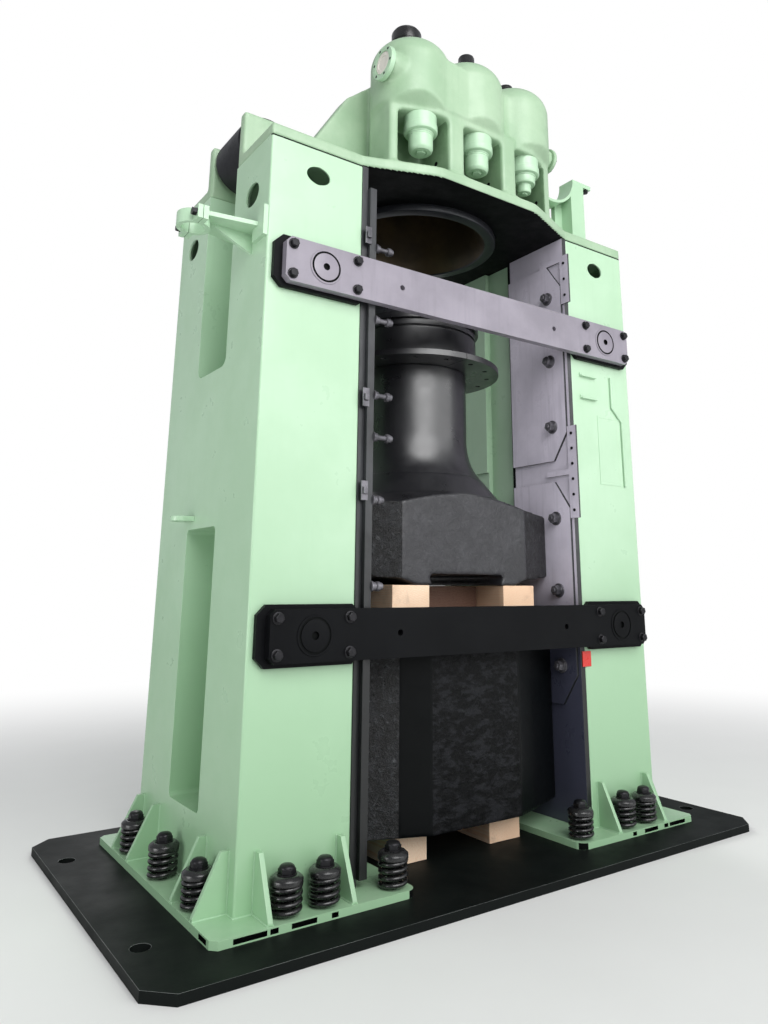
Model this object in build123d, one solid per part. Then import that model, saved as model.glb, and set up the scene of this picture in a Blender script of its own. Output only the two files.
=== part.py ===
from build123d import *
import os
from math import cos, pi, sin

os.makedirs("parts", exist_ok=True)

# Counterblow forging hammer, millimetres.
# X runs across the two columns, Y from the front to the rear, Z up from the floor.
# The origin is the middle of the underside of the base plate.

# Base plate
base_length = 4040
base_width = 2290
base_thickness = 45
base_corner = 113
anchor_hole = 90
anchor_pitch_x = 3810
anchor_pitch_y = 1340

# Columns
column_height = 4000
column_outside = 3014
column_gap = 1784
column_depth = 1430
column_plate = 40
column_edge = 12
column_hole = 116
column_hole_drop = 174
side_hole_front_y = -474
side_hole_rear_y = 480
side_hole_drop = 290
pocket_width = 440
pocket_depth = 320
pocket_corner = 60
upper_pocket_height = 1270
lower_pocket_bottom = 330
lower_pocket_top = 1795

# Foot plates and their gussets
foot_thickness = 36
foot_side = 171
foot_inside = 293
foot_front = 178
foot_corner = 60
foot_slot_height = 22
foot_slot_depth = 30
foot_slots = ((1500, 160), (1235, 130), (1385, 40), (1075, 36))
foot_side_slot = (60, 150)
gusset_thickness = 26
gusset_height = 265
gusset_tip = 42
gusset_run = 165
front_gusset_inner_x = 960
front_gusset_outer_x = 1400
side_gusset_inner_y = 355
side_gusset_outer_y = 630

# Sprung foot bolts
bolt_shank = 56
bolt_clearance = 5
spring_outside = 170
spring_wire = 28
spring_turns = 4.5
spring_steps = 10
spring_height = 176
cap_height = 40
cap_bevel = 14
nut_across = 82
nut_height = 44
nut_flats = 0.62
bolt_above_cap = 30
front_spring_x = (690, 1085, 1288)
side_spring_y = (-490, 0, 490)

# Crown casting with its valve chest
crown_flange = 77
crown_bulge = 178
crown_bulge_half = 420
crown_bulge_round = 260
lobe_pitch = 462
chest_x = -20
lobe_radius = 272
lobe_axis_y = -640
lobe_step = 18
lobe_top = 1048
lobe_dome = 188
lobe_neck = 84
chest_front = 888
chest_valley = 790
chest_waist = 560
chest_back_y = -60
chest_height = 942
chest_round = 70
chest_crest = 60
bay_width = 340
bay_shift = 15
bay_height = 385
bay_back_y = -545
bay_round = 32
post_outer = 706
post_set_back = 22
post_rise = 105
post_taper = 50
skirt_flare = 70
barrel_radius = 620
barrel_height = 860
rib_thickness = 130
rib_foot_x = 1180
rib_foot_lip = 30
rib_knee = (842, 668)
rib_top = (600, 880)
rib_y = -350
inlet_radius = 98
inlet_wall = 22
inlet_flange_radius = 112
inlet_flange = 34
inlet_z = 750
inlet_reach = 760
inlet_y = -760
inlet_port_radius = 45
inlet_passage = 188
outlet_radius = 82
outlet_lip = 14
outlet_cover = 28
outlet_z = 600
outlet_y = -700
outlet_reach = 730
drain_hole = 26
drain_depth = 30

# Valve gear: bonnets below the lobes, caps on top, spools inside
valve_forward = 115
valve_bore = 150
bonnet_radius = 112
bonnet_height = 120
bonnet_step_radius = 82
bonnet_step_height = 130
bonnet_round = 16
bonnet_hex = 62
bonnet_hex_height = 18
running_fit = 0.05
spool_land = 90
spool_waist_radius = 40
spool_length = 360
spool_travel = 60
inlet_cap_radius = 104
inlet_cap_height = 180
cap_set_back = 50
middle_cap_y = -682
cap_boss = 12
inlet_cap_rim = 34
inlet_cap_lip = 8
lobe_cap_radius = 76
lobe_cap_height = 46
lobe_cap_stud = 24
lobe_cap_stud_height = 90
cap_edge = 14

# Main cylinder
liner_bore = 962
liner_wall = 52
liner_rim = 1240
liner_below = 50
liner_lead = 62
liner_lead_height = 110
cylinder_head_radius = 590
cylinder_head_gap = 4
cylinder_head_height = 80
cylinder_head_dome_radius = 370
cylinder_head_dome = 60
head_bolts = 12
head_bolt_circle = 545
head_bolt_across = 60
head_bolt_height = 40

# Piston and gland
piston_clearance = 1
piston_height = 230
piston_ring_height = 26
piston_ring_count = 3
piston_ring_depth = 18
ring_proud = 0.4
ring_gap_width = 6
piston_plate_radius = 340
piston_plate_height = 30
piston_plate_bolts = 6
piston_plate_bolt_circle = 250
piston_plate_bolt = 46
gland_radius = 460
gland_height = 265
gland_flange_radius = 620
gland_flange = 40
gland_split = 3
gland_play = 0.3
gland_groove = 16
gland_groove_drop = 60
gland_bolt_circle = 540
gland_bolts = 16
gland_bolt_hole = 34
gland_packing_width = 30
gland_packing_height = 120

# Upper ram, resting on timbers
trunk_radius = 385
rod_radius = 372
spigot_radius = 300
ram_bottom = 1480
ram_height = 562
ram_front_half = 496
ram_front_y = 603
ram_corner_y = 457
ram_facet_drop = 72
ram_end_drop = 92
ram_flat_half = 400
ram_under_bevel = 34
flare_top = 1000
flare_low = 710
flare_out = 95
flare_mid = 835
flare_mid_out = 23
gland_seat = 1455
die_slot_mouth = 550
die_slot_root = 600
die_slot_depth = 64

# Lower ram
anvil_bottom = 140
anvil_height = 1090
anvil_front_half = 333
anvil_front_y = 670
anvil_facet_half = 512
anvil_facet_y = 602
anvil_corner_y = 463

# Timbers
timber_arris = 4
lower_timber_width = 250
lower_timber_x = 360
lower_timber_length = 970
upper_timber_width = 270
upper_timber_x = 430
upper_timber_setback = 8
plank_thickness = 60
plank_height = 238
plank_y = -300

# Guides on the inner faces of the columns
guide_thickness = 40
guide_width = 567
liner_thickness = 20
wear_length = 1470
wear_joint = 150
wear_top_gap = 190
wear_inset = 20
wear_cut_long = 190
wear_cut_wide = 130
guide_running = 1
guide_bolt_y = 567
guide_bolt_first = 254
guide_bolt_pitch = 486
guide_bolt_count = 3
guide_bolt_head = 48
guide_bolt_height = 30
guide_washer = 76
guide_washer_thickness = 8

# Screwed strips on the front edges of the guides
rail_thickness = 14
rail_width = 80
rail_proud = 60
rail_low = (1930, 2570)
rail_high_length = 372
rail_top_gap = 148
rail_low_arm = 300
rail_high_arm = 332
rail_arm_reach = 230
rail_arm = 40
rail_screw = 20
rail_screw_head = 6
rail_screw_pitch = 100
strip_foot_gap = 40
strip_thickness = 45
strip_width = 48
strip_proud = 28

# Tie bars across the front
upper_tie_z = 3226
lower_tie_z = 1226
tie_height = 262
tie_length = 2850
tie_thickness = 50
tie_corner = 30
pad_width = 600
pad_height = 306
pad_thickness = 32
pad_corner = 50
tie_centre_x = 1175
tie_bolt_dx = 208
tie_bolt_dz = 88
tie_bolt = 36
tie_bolt_across = 58
tie_bolt_head = 30
tie_bolt_play = 1
tie_pin_radius = 92
tie_pin_groove = 10
tie_pin_proud = 8
tie_hole = 34
tie_hole_x = 647

# Rollers in the column tops, with their bearing lugs on the crown
roller_radius = 200
roller_length = 390
roller_x = 1300
roller_z = 250
roller_edge = 12
roller_recess = 30
roller_rim = 36
axle_radius = 50
axle_end_play = 6
lug_thickness = 70
lug_rise = 300
lug_inner_x = 1160
lug_slope = 60

# Half-round cradle on the right of the crown
cradle_x = 930
cradle_z = 660
cradle_radius = 245
cradle_wall = 22
cradle_front_y = -565
cradle_length = 145
cradle_flange_reach = 210
cradle_flange = 34
cradle_post_x = 1147
cradle_post_width = 148
cradle_post_thickness = 110
cradle_web = 40
cradle_bolt = 40
cradle_bolt_head = 26

# Pipe clamp bracket on the left column
clamp_outside = 92
clamp_bore = 66
clamp_height = 78
clamp_reach = 345
clamp_y = -495
clamp_low = 3472
clamp_shelf_front = -640
clamp_shelf_back = -315
clamp_plate_front = -713
clamp_plate_back = -565
clamp_plate_low = 3447
clamp_plate_high = 3628
clamp_arm = 26
clamp_rib_drop = 120
clamp_split = 3
clamp_ear = 60
clamp_ear_width = 30
clamp_bolt = 24
clamp_bolt_across = 40
clamp_bolt_head = 24

# Lifting eyes
eye_outside = 62
eye_bore = 34
eye_thickness = 30
eye_y = 175
eye_z = 1842

# Small fittings on the right column
shelf_x = 1050
shelf_width = 160
shelf_depth = 26
shelf_plate = 8
shelf_z = (2955, 2790)
conduit_radius = 9
conduit_x = 1298
conduit_z = (2183, 2761, 2990)
conduit_step = 100
tag_x = 905
tag_width = 80
tag_height = 96
tag_thickness = 6
tag_z = 965

# Derived heights and places
arc_middle = 2 ** -0.5
half_outside = column_outside / 2
upper_timber_length = 2 * (ram_front_y - upper_timber_setback)
wear_high_z = column_height - wear_top_gap - wear_length
wear_low_z = wear_high_z - wear_joint - wear_length
rail_high = (column_height - rail_top_gap - rail_high_length, column_height - rail_top_gap)
strip_span = (strip_foot_gap, column_height - rail_top_gap)
half_gap = column_gap / 2
half_depth = column_depth / 2
foot_top = base_thickness + foot_thickness
crown_base = foot_top + column_height
crown_top = crown_base + crown_flange
column_mid = (half_outside + half_gap) / 2
guide_face = half_gap - guide_thickness - liner_thickness
ram_half = guide_face - guide_running
ram_reach = (ram_half ** 2 + ram_corner_y ** 2) ** 0.5 + 10
ram_low = foot_top + ram_bottom
gland_low = ram_low + gland_seat
piston_low = gland_low + gland_flange + gland_height
piston_top = piston_low + piston_height
piston_radius = liner_bore / 2 - piston_clearance
liner_outside = liner_bore / 2 + liner_wall
anvil_low = foot_top + anvil_bottom
anvil_top = anvil_low + anvil_height
spring_y = half_depth + foot_front / 2
spring_side_x = half_outside + foot_side / 2
spring_mean = (spring_outside - spring_wire) / 2
spring_side = spring_wire / 2 ** 0.5
cap_radius = spring_outside / 2
left_lobe_x = chest_x - lobe_pitch
right_lobe_x = chest_x + lobe_pitch
cradle_root_x = right_lobe_x + lobe_radius
bay_top = crown_top + bay_height
notch_x = half_outside - pocket_depth
notch_y = pocket_width / 2
tie_front = -half_depth - pad_thickness - tie_thickness
clamp_x = -half_outside - clamp_reach


def block(x0, x1, y0, y1, z0, z1):
    """A rectangular block between two corners."""
    return Pos((x0 + x1) / 2, (y0 + y1) / 2, (z0 + z1) / 2) * Box(x1 - x0, y1 - y0, z1 - z0)


def rod(radius, height, x, y, z):
    """An upright cylinder standing on height z."""
    return Pos(x, y, z + height / 2) * Cylinder(radius, height)


def rod_y(radius, length, x, y, z):
    """A cylinder along Y that starts at y."""
    return Pos(x, y + length / 2, z) * Rot(90, 0, 0) * Cylinder(radius, length)


def rod_x(radius, length, x, y, z):
    """A cylinder along X that starts at x."""
    return Pos(x + length / 2, y, z) * Rot(0, 90, 0) * Cylinder(radius, length)


def prism(points, z0, z1):
    """A plan outline raised from z0 to z1."""
    face = make_face(Polyline(*points, close=True))
    return Pos(0, 0, z0) * extrude(face, z1 - z0)


def hexagon(across, height, x, y, z):
    """A hexagon head across flats, standing on height z."""
    return Pos(x, y, z) * extrude(RegularPolygon(across / 2, 6, major_radius=False), height)


def hexagon_y(across, height, x, y, z):
    """A hexagon head on the front, running back from y."""
    head = extrude(RegularPolygon(across / 2, 6, major_radius=False), height)
    return Pos(x, y, z) * Rot(-90, 0, 0) * head


def mirrored(shape):
    """The same piece on the other side of the middle."""
    return mirror(shape, about=Plane.YZ)


def solids_of(shapes):
    """Separate solids kept together in one node."""
    return Compound(children=[s for item in shapes for s in item.solids()])


def save(shape, name):
    """Write one node."""
    export_step(shape, f"parts/{name}.step")


# Base plate
def make_base_plate():
    half_x, half_y, cut = base_length / 2, base_width / 2, base_corner
    outline = [
        (-half_x + cut, -half_y), (half_x - cut, -half_y), (half_x, -half_y + cut),
        (half_x, half_y - cut), (half_x - cut, half_y), (-half_x + cut, half_y),
        (-half_x, half_y - cut), (-half_x, -half_y + cut),
    ]
    plate = prism(outline, 0, base_thickness)
    for x in (-anchor_pitch_x / 2, anchor_pitch_x / 2):
        for y in (-anchor_pitch_y / 2, anchor_pitch_y / 2):
            plate -= rod(anchor_hole / 2, base_thickness, x, y, 0)
    for x, y in bolt_places(1) + bolt_places(-1):
        plate -= rod(bolt_shank / 2 + bolt_clearance / 2, base_thickness, x, y, 0)
    return plate


def bolt_places(side):
    """Centres of the sprung foot bolts of one column."""
    places = [(side * x, y) for x in front_spring_x for y in (-spring_y, spring_y)]
    places += [(side * spring_side_x, y) for y in side_spring_y]
    return places


# Foot plates and gussets
def make_foot():
    x0, x1 = half_gap - foot_inside, half_outside + foot_side
    half_y = half_depth + foot_front
    plate = block(x0, x1, -half_y, half_y, base_thickness, foot_top)
    inner = plate.edges().filter_by(Axis.Z).group_by(Axis.X)[0]
    outer = plate.edges().filter_by(Axis.Z).group_by(Axis.X)[-1]
    plate = fillet(inner, foot_corner)
    outer = plate.edges().filter_by(Axis.Z).group_by(Axis.X)[-1]
    plate = chamfer(outer, foot_corner / 2)
    for x, y in bolt_places(1):
        plate -= rod(bolt_shank / 2 + bolt_clearance, foot_thickness, x, y, base_thickness)
    slot_z = base_thickness + foot_thickness / 2 - foot_slot_height / 2
    slot_top = slot_z + foot_slot_height
    for x, width in foot_slots:
        for y in (-half_y, half_y - foot_slot_depth):
            plate -= block(x - width / 2, x + width / 2, y, y + foot_slot_depth, slot_z, slot_top)
    side_y0, side_y1 = foot_side_slot
    plate -= block(x1 - foot_slot_depth, x1, -half_y + side_y0, -half_y + side_y1, slot_z, slot_top)
    return plate


def gusset_blade():
    """One gusset in the XZ plane, foot edge along +X from the column face."""
    outline = [
        (0, 0), (gusset_run, 0), (gusset_run, 14), (gusset_tip, gusset_height), (0, gusset_height),
    ]
    face = make_face(Polyline(*outline, close=True))
    return Rot(90, 0, 0) * Pos(0, 0, -gusset_thickness / 2) * extrude(face, gusset_thickness)


def make_gussets():
    blade = gusset_blade()
    pieces = []
    for y in (-side_gusset_outer_y, -side_gusset_inner_y, side_gusset_inner_y, side_gusset_outer_y):
        pieces.append(Pos(half_outside, y, foot_top) * blade)
    for x in (front_gusset_inner_x, front_gusset_outer_x):
        pieces.append(Pos(x, -half_depth, foot_top) * Rot(0, 0, -90) * blade)
        pieces.append(Pos(x, half_depth, foot_top) * Rot(0, 0, 90) * blade)
    return solids_of(pieces)


# Columns
def make_column():
    column = block(half_gap, half_outside, -half_depth, half_depth, foot_top, crown_base)
    column = fillet(column.edges().filter_by(Axis.Z), column_edge)
    pocket_half = pocket_width / 2
    pocket_x = half_outside - pocket_depth
    upper = block(pocket_x, half_outside, -pocket_half, pocket_half,
                  crown_base - upper_pocket_height, crown_base)
    upper = fillet(upper.edges().filter_by(Axis.X).group_by(Axis.Z)[0], pocket_corner)
    lower = block(pocket_x, half_outside, -pocket_half, pocket_half,
                  foot_top + lower_pocket_bottom, foot_top + lower_pocket_top)
    lower = fillet(lower.edges().filter_by(Axis.X), pocket_corner / 2)
    column -= upper
    column -= lower
    cavity_x = (half_gap + column_plate, half_outside - column_plate)
    cavity_z = (foot_top + column_plate, crown_base - column_plate)
    for y0 in (-half_depth + column_plate, pocket_half + column_plate):
        y1 = y0 + half_depth - pocket_half - 2 * column_plate
        column -= block(*cavity_x, y0, y1, *cavity_z)
    hole_z = crown_base - column_hole_drop
    column -= rod_y(column_hole / 2, column_plate, column_mid, -half_depth, hole_z)
    side_z = crown_base - side_hole_drop
    for y in (side_hole_front_y, side_hole_rear_y):
        column -= rod_x(column_hole / 2, column_plate, half_outside - column_plate, y, side_z)
    return column


# Sprung foot bolts
def make_spring():
    """A closed-end coil of straight steps, seated at its own origin."""
    rise = spring_height - 2 * spring_wire
    steps = round(spring_turns * spring_steps)
    sections = []
    for step in range(steps + 1):
        turn = 360 * step / spring_steps
        share = step / steps
        z = spring_wire / 2 + share * (rise + spring_wire)
        corner = Rot(0, 0, turn) * Pos(spring_mean, 0, z) * Rot(90, 0, 0)
        sections.append(corner * Rot(0, 0, 45) * Rectangle(spring_side, spring_side))
    return loft(sections, ruled=True)


def make_cap():
    """The bevelled spring cap."""
    profile = [
        (bolt_shank / 2 + running_fit, 0), (cap_radius, 0), (cap_radius, cap_height - cap_bevel),
        (cap_radius - cap_bevel, cap_height), (bolt_shank / 2 + running_fit, cap_height),
    ]
    face = make_face(Polyline(*[(r, 0, z) for r, z in profile], close=True))
    return revolve(face, Axis.Z)


def make_nut():
    """A hexagon nut with a turned crown over the bolt end."""
    nut = hexagon(nut_across, nut_height * nut_flats, 0, 0, 0)
    crown_height = nut_height * (1 - nut_flats)
    nut += Pos(0, 0, nut_height * nut_flats + crown_height / 2) * Cone(
        nut_across * 0.46, nut_across * 0.3, crown_height)
    nut -= rod(bolt_shank / 2 + running_fit, bolt_above_cap, 0, 0, 0)
    return nut


def make_foot_set(side):
    spring, cap, nut = make_spring(), make_cap(), make_nut()
    springs, caps, nuts, bolts = [], [], [], []
    cap_z = foot_top + spring_height
    for x, y in bolt_places(side):
        springs.append(Pos(x, y, foot_top) * spring)
        caps.append(Pos(x, y, cap_z) * cap)
        nuts.append(Pos(x, y, cap_z + cap_height) * nut)
        bolts.append(rod(bolt_shank / 2, cap_z + cap_height + bolt_above_cap, x, y, 0))
    return solids_of(springs), solids_of(caps), solids_of(nuts), solids_of(bolts)


# Crown casting
def crown_outline():
    """Plan of the crown flange, with its front bulge and the side notches."""
    front = -half_depth
    right = [
        (crown_bulge_half, front - crown_bulge), (half_gap, front), (half_outside, front),
        (half_outside, -notch_y), (notch_x, -notch_y), (notch_x, notch_y),
        (half_outside, notch_y), (half_outside, half_depth),
    ]
    left = [(-x, y) for x, y in reversed(right)]
    return right + left


def bulge_front(x):
    """The Y of the crown flange's front edge at x."""
    share = (abs(x) - crown_bulge_half) / (half_gap - crown_bulge_half)
    return -half_depth - crown_bulge * (1 - min(max(share, 0), 1))


def lobe_places():
    """Axes of the three valve lobes."""
    middle = (chest_x, lobe_axis_y - lobe_step)
    return [(chest_x - lobe_pitch, lobe_axis_y), middle, (chest_x + lobe_pitch, lobe_axis_y)]


def valve_places():
    """Axes of the valve bores, a little in front of the lobes' own."""
    return [(x, y - valve_forward) for x, y in lobe_places()]


def bay_sides():
    """Left and right sides of the three bays."""
    middles = [x - bay_shift for x, y in lobe_places()]
    return [(x - bay_width / 2, x + bay_width / 2) for x in middles]


def cap_places():
    """Axes of the caps; the outer two stand a little behind their lobes' own."""
    left, middle, right = [x for x, y in lobe_places()]
    return [(left, lobe_axis_y + cap_set_back), (middle, middle_cap_y), (right, lobe_axis_y + cap_set_back)]


def make_lobe(x, y):
    """One valve lobe: a round tower with a domed shoulder and a flat neck."""
    top = crown_base + lobe_top
    shoulder = top - lobe_dome
    side = Polyline((0, 0, crown_top), (lobe_radius, 0, crown_top), (lobe_radius, 0, shoulder))
    reach = lobe_radius - lobe_neck
    dome = ThreePointArc(
        (lobe_radius, 0, shoulder),
        (lobe_neck + reach * arc_middle, 0, shoulder + lobe_dome * arc_middle),
        (lobe_neck, 0, top),
    )
    neck = Polyline((lobe_neck, 0, top), (0, 0, top), (0, 0, crown_top))
    return Pos(x, y, 0) * revolve(make_face(side + dome + neck), Axis.Z)


def skirt_plan(grow, back):
    """Plan of the chest's lower part, set back from the flange's front edge."""
    left, right = chest_x - post_outer, chest_x + post_outer
    front = [(x, bulge_front(x) + post_set_back - grow) for x in (left, -crown_bulge_half)]
    front += [(x, bulge_front(x) + post_set_back - grow) for x in (crown_bulge_half, right)]
    front[0] = (left - grow, front[0][1])
    front[-1] = (right + grow, front[-1][1])
    return [(left - grow, back)] + front + [(right + grow, back)]


def make_skirt():
    """What the lobes lose below, so that they spring out over the posts."""
    top = bay_top + post_rise
    knee = top - skirt_flare
    reach, back = 2 * lobe_radius + post_outer, rib_y - rib_thickness
    ahead = -chest_front - lobe_radius
    faces = [make_face(Polyline(*[(x, y, z) for x, y in skirt_plan(grow, back)], close=True))
             for grow, z in ((0, knee), (skirt_flare, top))]
    keep = prism(skirt_plan(0, back), crown_top, knee) + loft(faces, ruled=True)
    return block(-reach, reach, ahead, back, crown_top, top) - keep


def make_chest():
    """The valve chest: a wavy wall of three lobes on a common body."""
    left, middle, right = [x for x, y in lobe_places()]
    valley = (middle + right) / 2
    plan = make_face(Polyline(
        (left, -chest_front), (middle, -chest_front), (valley, -chest_valley), (right, -chest_valley),
        (right + lobe_radius / 2, lobe_axis_y), (chest_x + chest_waist, rib_y),
        (chest_x + chest_waist, chest_back_y), (chest_x - chest_waist, chest_back_y),
        (chest_x - chest_waist, rib_y), (left - lobe_radius / 2, lobe_axis_y), close=True))
    for x, y in lobe_places():
        plan += Pos(x, y) * Circle(lobe_radius)
    valleys = [v for v in plan.vertices() if left < v.X < right and v.Y < -chest_valley + 1]
    plan = fillet(valleys, chest_round)
    chest = Pos(0, 0, crown_top) * extrude(plan, chest_height - crown_flange)
    chest = chamfer(chest.edges().group_by(Axis.Z)[-1], chest_crest)
    for x, y in lobe_places():
        chest += make_lobe(x, y)
    return chest - make_skirt()


def make_posts():
    """The flat posts between and beside the bays, tapered back at the top."""
    posts = []
    bays = bay_sides()
    sides = [chest_x - post_outer] + [x for bay in bays for x in bay] + [chest_x + post_outer]
    for x0, x1 in zip(sides[::2], sides[1::2]):
        front = bulge_front(max(abs(x0), abs(x1))) + post_set_back
        top = bay_top + post_rise
        outline = [
            (lobe_axis_y, crown_top), (front, crown_top), (front, top - post_taper),
            (front + post_taper, top), (lobe_axis_y, top),
        ]
        face = make_face(Polyline(*[(x0, y, z) for y, z in outline], close=True))
        posts.append(extrude(face, x1 - x0, dir=(1, 0, 0)))
    return posts


def crown_rib():
    """The sloping rib from a column top up to the casting."""
    outline = [
        (0, crown_top), (rib_foot_x, crown_top), (rib_foot_x, crown_top + rib_foot_lip),
        (rib_knee[0], crown_base + rib_knee[1]), (rib_top[0], crown_base + rib_top[1]),
        (0, crown_base + rib_top[1]),
    ]
    face = make_face(Polyline(*[(x, 0, z) for x, z in outline], close=True))
    return Pos(0, rib_y + rib_thickness / 2, 0) * extrude(face, rib_thickness, dir=(0, -1, 0))


def roller_lug(y0, y1):
    """One bearing lug for a roller's axle, on the flange beside the notch."""
    top = crown_top + lug_rise
    outline = [
        (lug_inner_x - lug_slope, crown_top), (half_outside, crown_top), (half_outside, top),
        (lug_inner_x, top),
    ]
    face = make_face(Polyline(*[(x, 0, z) for x, z in outline], close=True))
    lug = Pos(0, y1, 0) * extrude(face, y1 - y0, dir=(0, -1, 0))
    return lug - rod_y(axle_radius, y1 - y0, roller_x, y0, crown_base + roller_z)


def make_crown():
    """The whole crown casting, before its bores."""
    flange = prism(crown_outline(), crown_base, crown_top)
    bulge = flange.edges().filter_by(Axis.Z).group_by(Axis.Y)[0]
    crown = fillet(bulge, crown_bulge_round)
    crown += make_chest()
    lobe_shoulder = crown_base + lobe_top - lobe_dome
    for (x, y), radius in zip(cap_places(), (inlet_cap_radius, lobe_cap_radius, lobe_cap_radius)):
        crown += rod(radius + cap_boss, lobe_dome, x, y, lobe_shoulder)
    y0 = cradle_front_y
    crown += block(right_lobe_x, cradle_root_x, y0, y0 + cradle_length, crown_top, crown_base + cradle_z)
    for post in make_posts():
        crown += post
    crown += rod(barrel_radius, barrel_height - crown_flange, 0, 0, crown_top)
    rib = crown_rib()
    crown += rib + mirrored(rib)
    for y0, y1 in ((-notch_y - lug_thickness, -notch_y), (notch_y, notch_y + lug_thickness)):
        lug = roller_lug(y0, y1)
        crown += lug + mirrored(lug)
    inlet_boss = inlet_reach + left_lobe_x
    crown += rod_x(inlet_radius, inlet_boss, -inlet_reach, inlet_y, crown_base + inlet_z)
    outlet_boss = outlet_reach - right_lobe_x
    crown += rod_x(outlet_radius, outlet_boss, right_lobe_x, outlet_y, crown_base + outlet_z)
    return crown


def cut_crown(crown):
    """Bays under the lobes, valve bores, the air passage and the main bore."""
    for (x, y), (x0, x1) in zip(valve_places(), bay_sides()):
        front = -half_depth - crown_bulge - 2 * bay_round
        bay = block(x0, x1, front, bay_back_y, crown_top, bay_top)
        bay = fillet(bay.edges().filter_by(Axis.Y).group_by(Axis.Z)[-1], bay_round)
        crown -= bay
        crown -= rod(valve_bore / 2, spool_length + 2 * spool_travel, x, y, bay_top)
        drain_z = crown_top + drain_hole
        drain_x = x1 - drain_hole
        crown -= rod_y(drain_hole / 2, drain_depth, drain_x, bay_back_y, drain_z)
    crown -= rod(liner_outside, lobe_top, 0, 0, crown_base)
    crown -= rod(cylinder_head_radius + cylinder_head_gap, lobe_top, 0, 0, crown_base + barrel_height)
    inlet_height = crown_base + inlet_z
    crown -= rod_x(inlet_radius - inlet_wall, inlet_passage, -inlet_reach, inlet_y, inlet_height)
    port = inlet_reach + left_lobe_x
    return crown - rod_x(inlet_port_radius, port, -inlet_reach, inlet_y, inlet_height)


# Half-round cradle on the right of the crown
def make_cradle():
    """The open cradle with its bolting flange, post and web."""
    axis_z = crown_base + cradle_z
    y0, length = cradle_front_y, cradle_length
    shell = rod_y(cradle_radius + cradle_wall, length, cradle_x, y0, axis_z)
    shell -= rod_y(cradle_radius, length, cradle_x, y0, axis_z)
    shell &= block(cradle_root_x, cradle_x + 2 * cradle_radius, y0, y0 + length, crown_top, axis_z)
    outer = cradle_x + cradle_radius
    post_outer = cradle_post_x + cradle_post_width
    shell += block(outer, outer + cradle_flange_reach, y0, y0 + length, axis_z - cradle_flange, axis_z)
    flange_low = axis_z - cradle_flange
    post = block(cradle_post_x, post_outer, y0, y0 + cradle_post_thickness, crown_top, flange_low)
    web = block(cradle_post_x, cradle_post_x + cradle_web, y0, y0 + length, crown_top, flange_low)
    rear = block(cradle_post_x - cradle_web * 2, cradle_post_x + cradle_web, y0 + length - cradle_web,
                 y0 + length, crown_top, axis_z - cradle_radius * 0.5)
    cradle = shell + post + web + rear
    return cradle - rod_y(cradle_radius, length, cradle_x, y0, axis_z)


def make_cradle_bolts():
    """Bolt heads under the cradle's flange."""
    z = crown_base + cradle_z - cradle_flange - cradle_bolt_head
    x = cradle_x + cradle_radius + cradle_flange_reach - cradle_bolt
    step = cradle_length / 3
    ys = [cradle_front_y + step * (i + 0.5) for i in range(3)]
    return [hexagon(cradle_bolt, cradle_bolt_head, x, y, z) for y in ys]


# Rollers in the column tops
def make_roller(side):
    """A roller on its axle, recessed at both ends."""
    z = crown_base + roller_z
    x = side * roller_x
    y0 = -roller_length / 2
    roller = rod_y(roller_radius, roller_length, x, y0, z)
    roller = chamfer(roller.edges().filter_by(GeomType.CIRCLE), roller_edge)
    for y in (y0, -y0 - roller_recess):
        recess = rod_y(roller_radius - roller_rim, roller_recess, x, y, z)
        recess -= rod_y(axle_radius + roller_rim, roller_recess, x, y, z)
        roller -= recess
    return roller - rod_y(axle_radius + running_fit, roller_length, x, y0, z)


def make_axle(side):
    """The fixed axle between the bearing lugs."""
    length = 2 * (notch_y + lug_thickness) - 2 * axle_end_play
    return rod_y(axle_radius, length, side * roller_x, -length / 2, crown_base + roller_z)


# Valve gear
def make_bonnet(x, y):
    """The two-step bonnet that closes a valve bore from below."""
    bonnet = rod(bonnet_radius, bonnet_height, x, y, bay_top - bonnet_height)
    bonnet = chamfer(bonnet.edges().group_by(Axis.Z)[0], bonnet_round / 2)
    low = bay_top - bonnet_height - bonnet_step_height
    step = rod(bonnet_step_radius, bonnet_step_height, x, y, low)
    bonnet += chamfer(step.edges().group_by(Axis.Z)[0], bonnet_round)
    return bonnet + hexagon(bonnet_hex, bonnet_hex_height, x, y, low - bonnet_hex_height)


def make_spool(x, y):
    """The valve spool inside one lobe: two lands on a waist."""
    low = bay_top + spool_travel
    land = valve_bore / 2 - running_fit
    spool = rod(spool_waist_radius, spool_length, x, y, low)
    spool += rod(land, spool_land, x, y, low)
    return spool + rod(land, spool_land, x, y, low + spool_length - spool_land)


def make_inlet_cap(x, y):
    """The tall cap on the left lobe, with a wider rim below."""
    top = crown_base + lobe_top
    cap = rod(inlet_cap_radius, inlet_cap_height, x, y, top)
    cap = chamfer(cap.edges().group_by(Axis.Z)[-1], cap_edge)
    return cap + rod(inlet_cap_radius + inlet_cap_lip, inlet_cap_rim, x, y, top)


def make_lobe_cap(x, y):
    """The low cap of a lobe, with a stud."""
    top = crown_base + lobe_top
    cap = rod(lobe_cap_radius, lobe_cap_height, x, y, top)
    cap = chamfer(cap.edges().group_by(Axis.Z)[-1], cap_edge)
    return cap + rod(lobe_cap_stud, lobe_cap_stud_height, x, y, top + lobe_cap_height)


def make_inlet_flange():
    """The flange on the end of the air inlet boss."""
    centre = crown_base + inlet_z
    x = -inlet_reach - inlet_flange
    ring = rod_x(inlet_flange_radius, inlet_flange, x, inlet_y, centre)
    return ring - rod_x(inlet_radius - inlet_wall, inlet_flange, x, inlet_y, centre)


def make_outlet_cover():
    """The blind cover on the exhaust boss."""
    return rod_x(outlet_radius + outlet_lip, outlet_cover, outlet_reach, outlet_y, crown_base + outlet_z)


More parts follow.
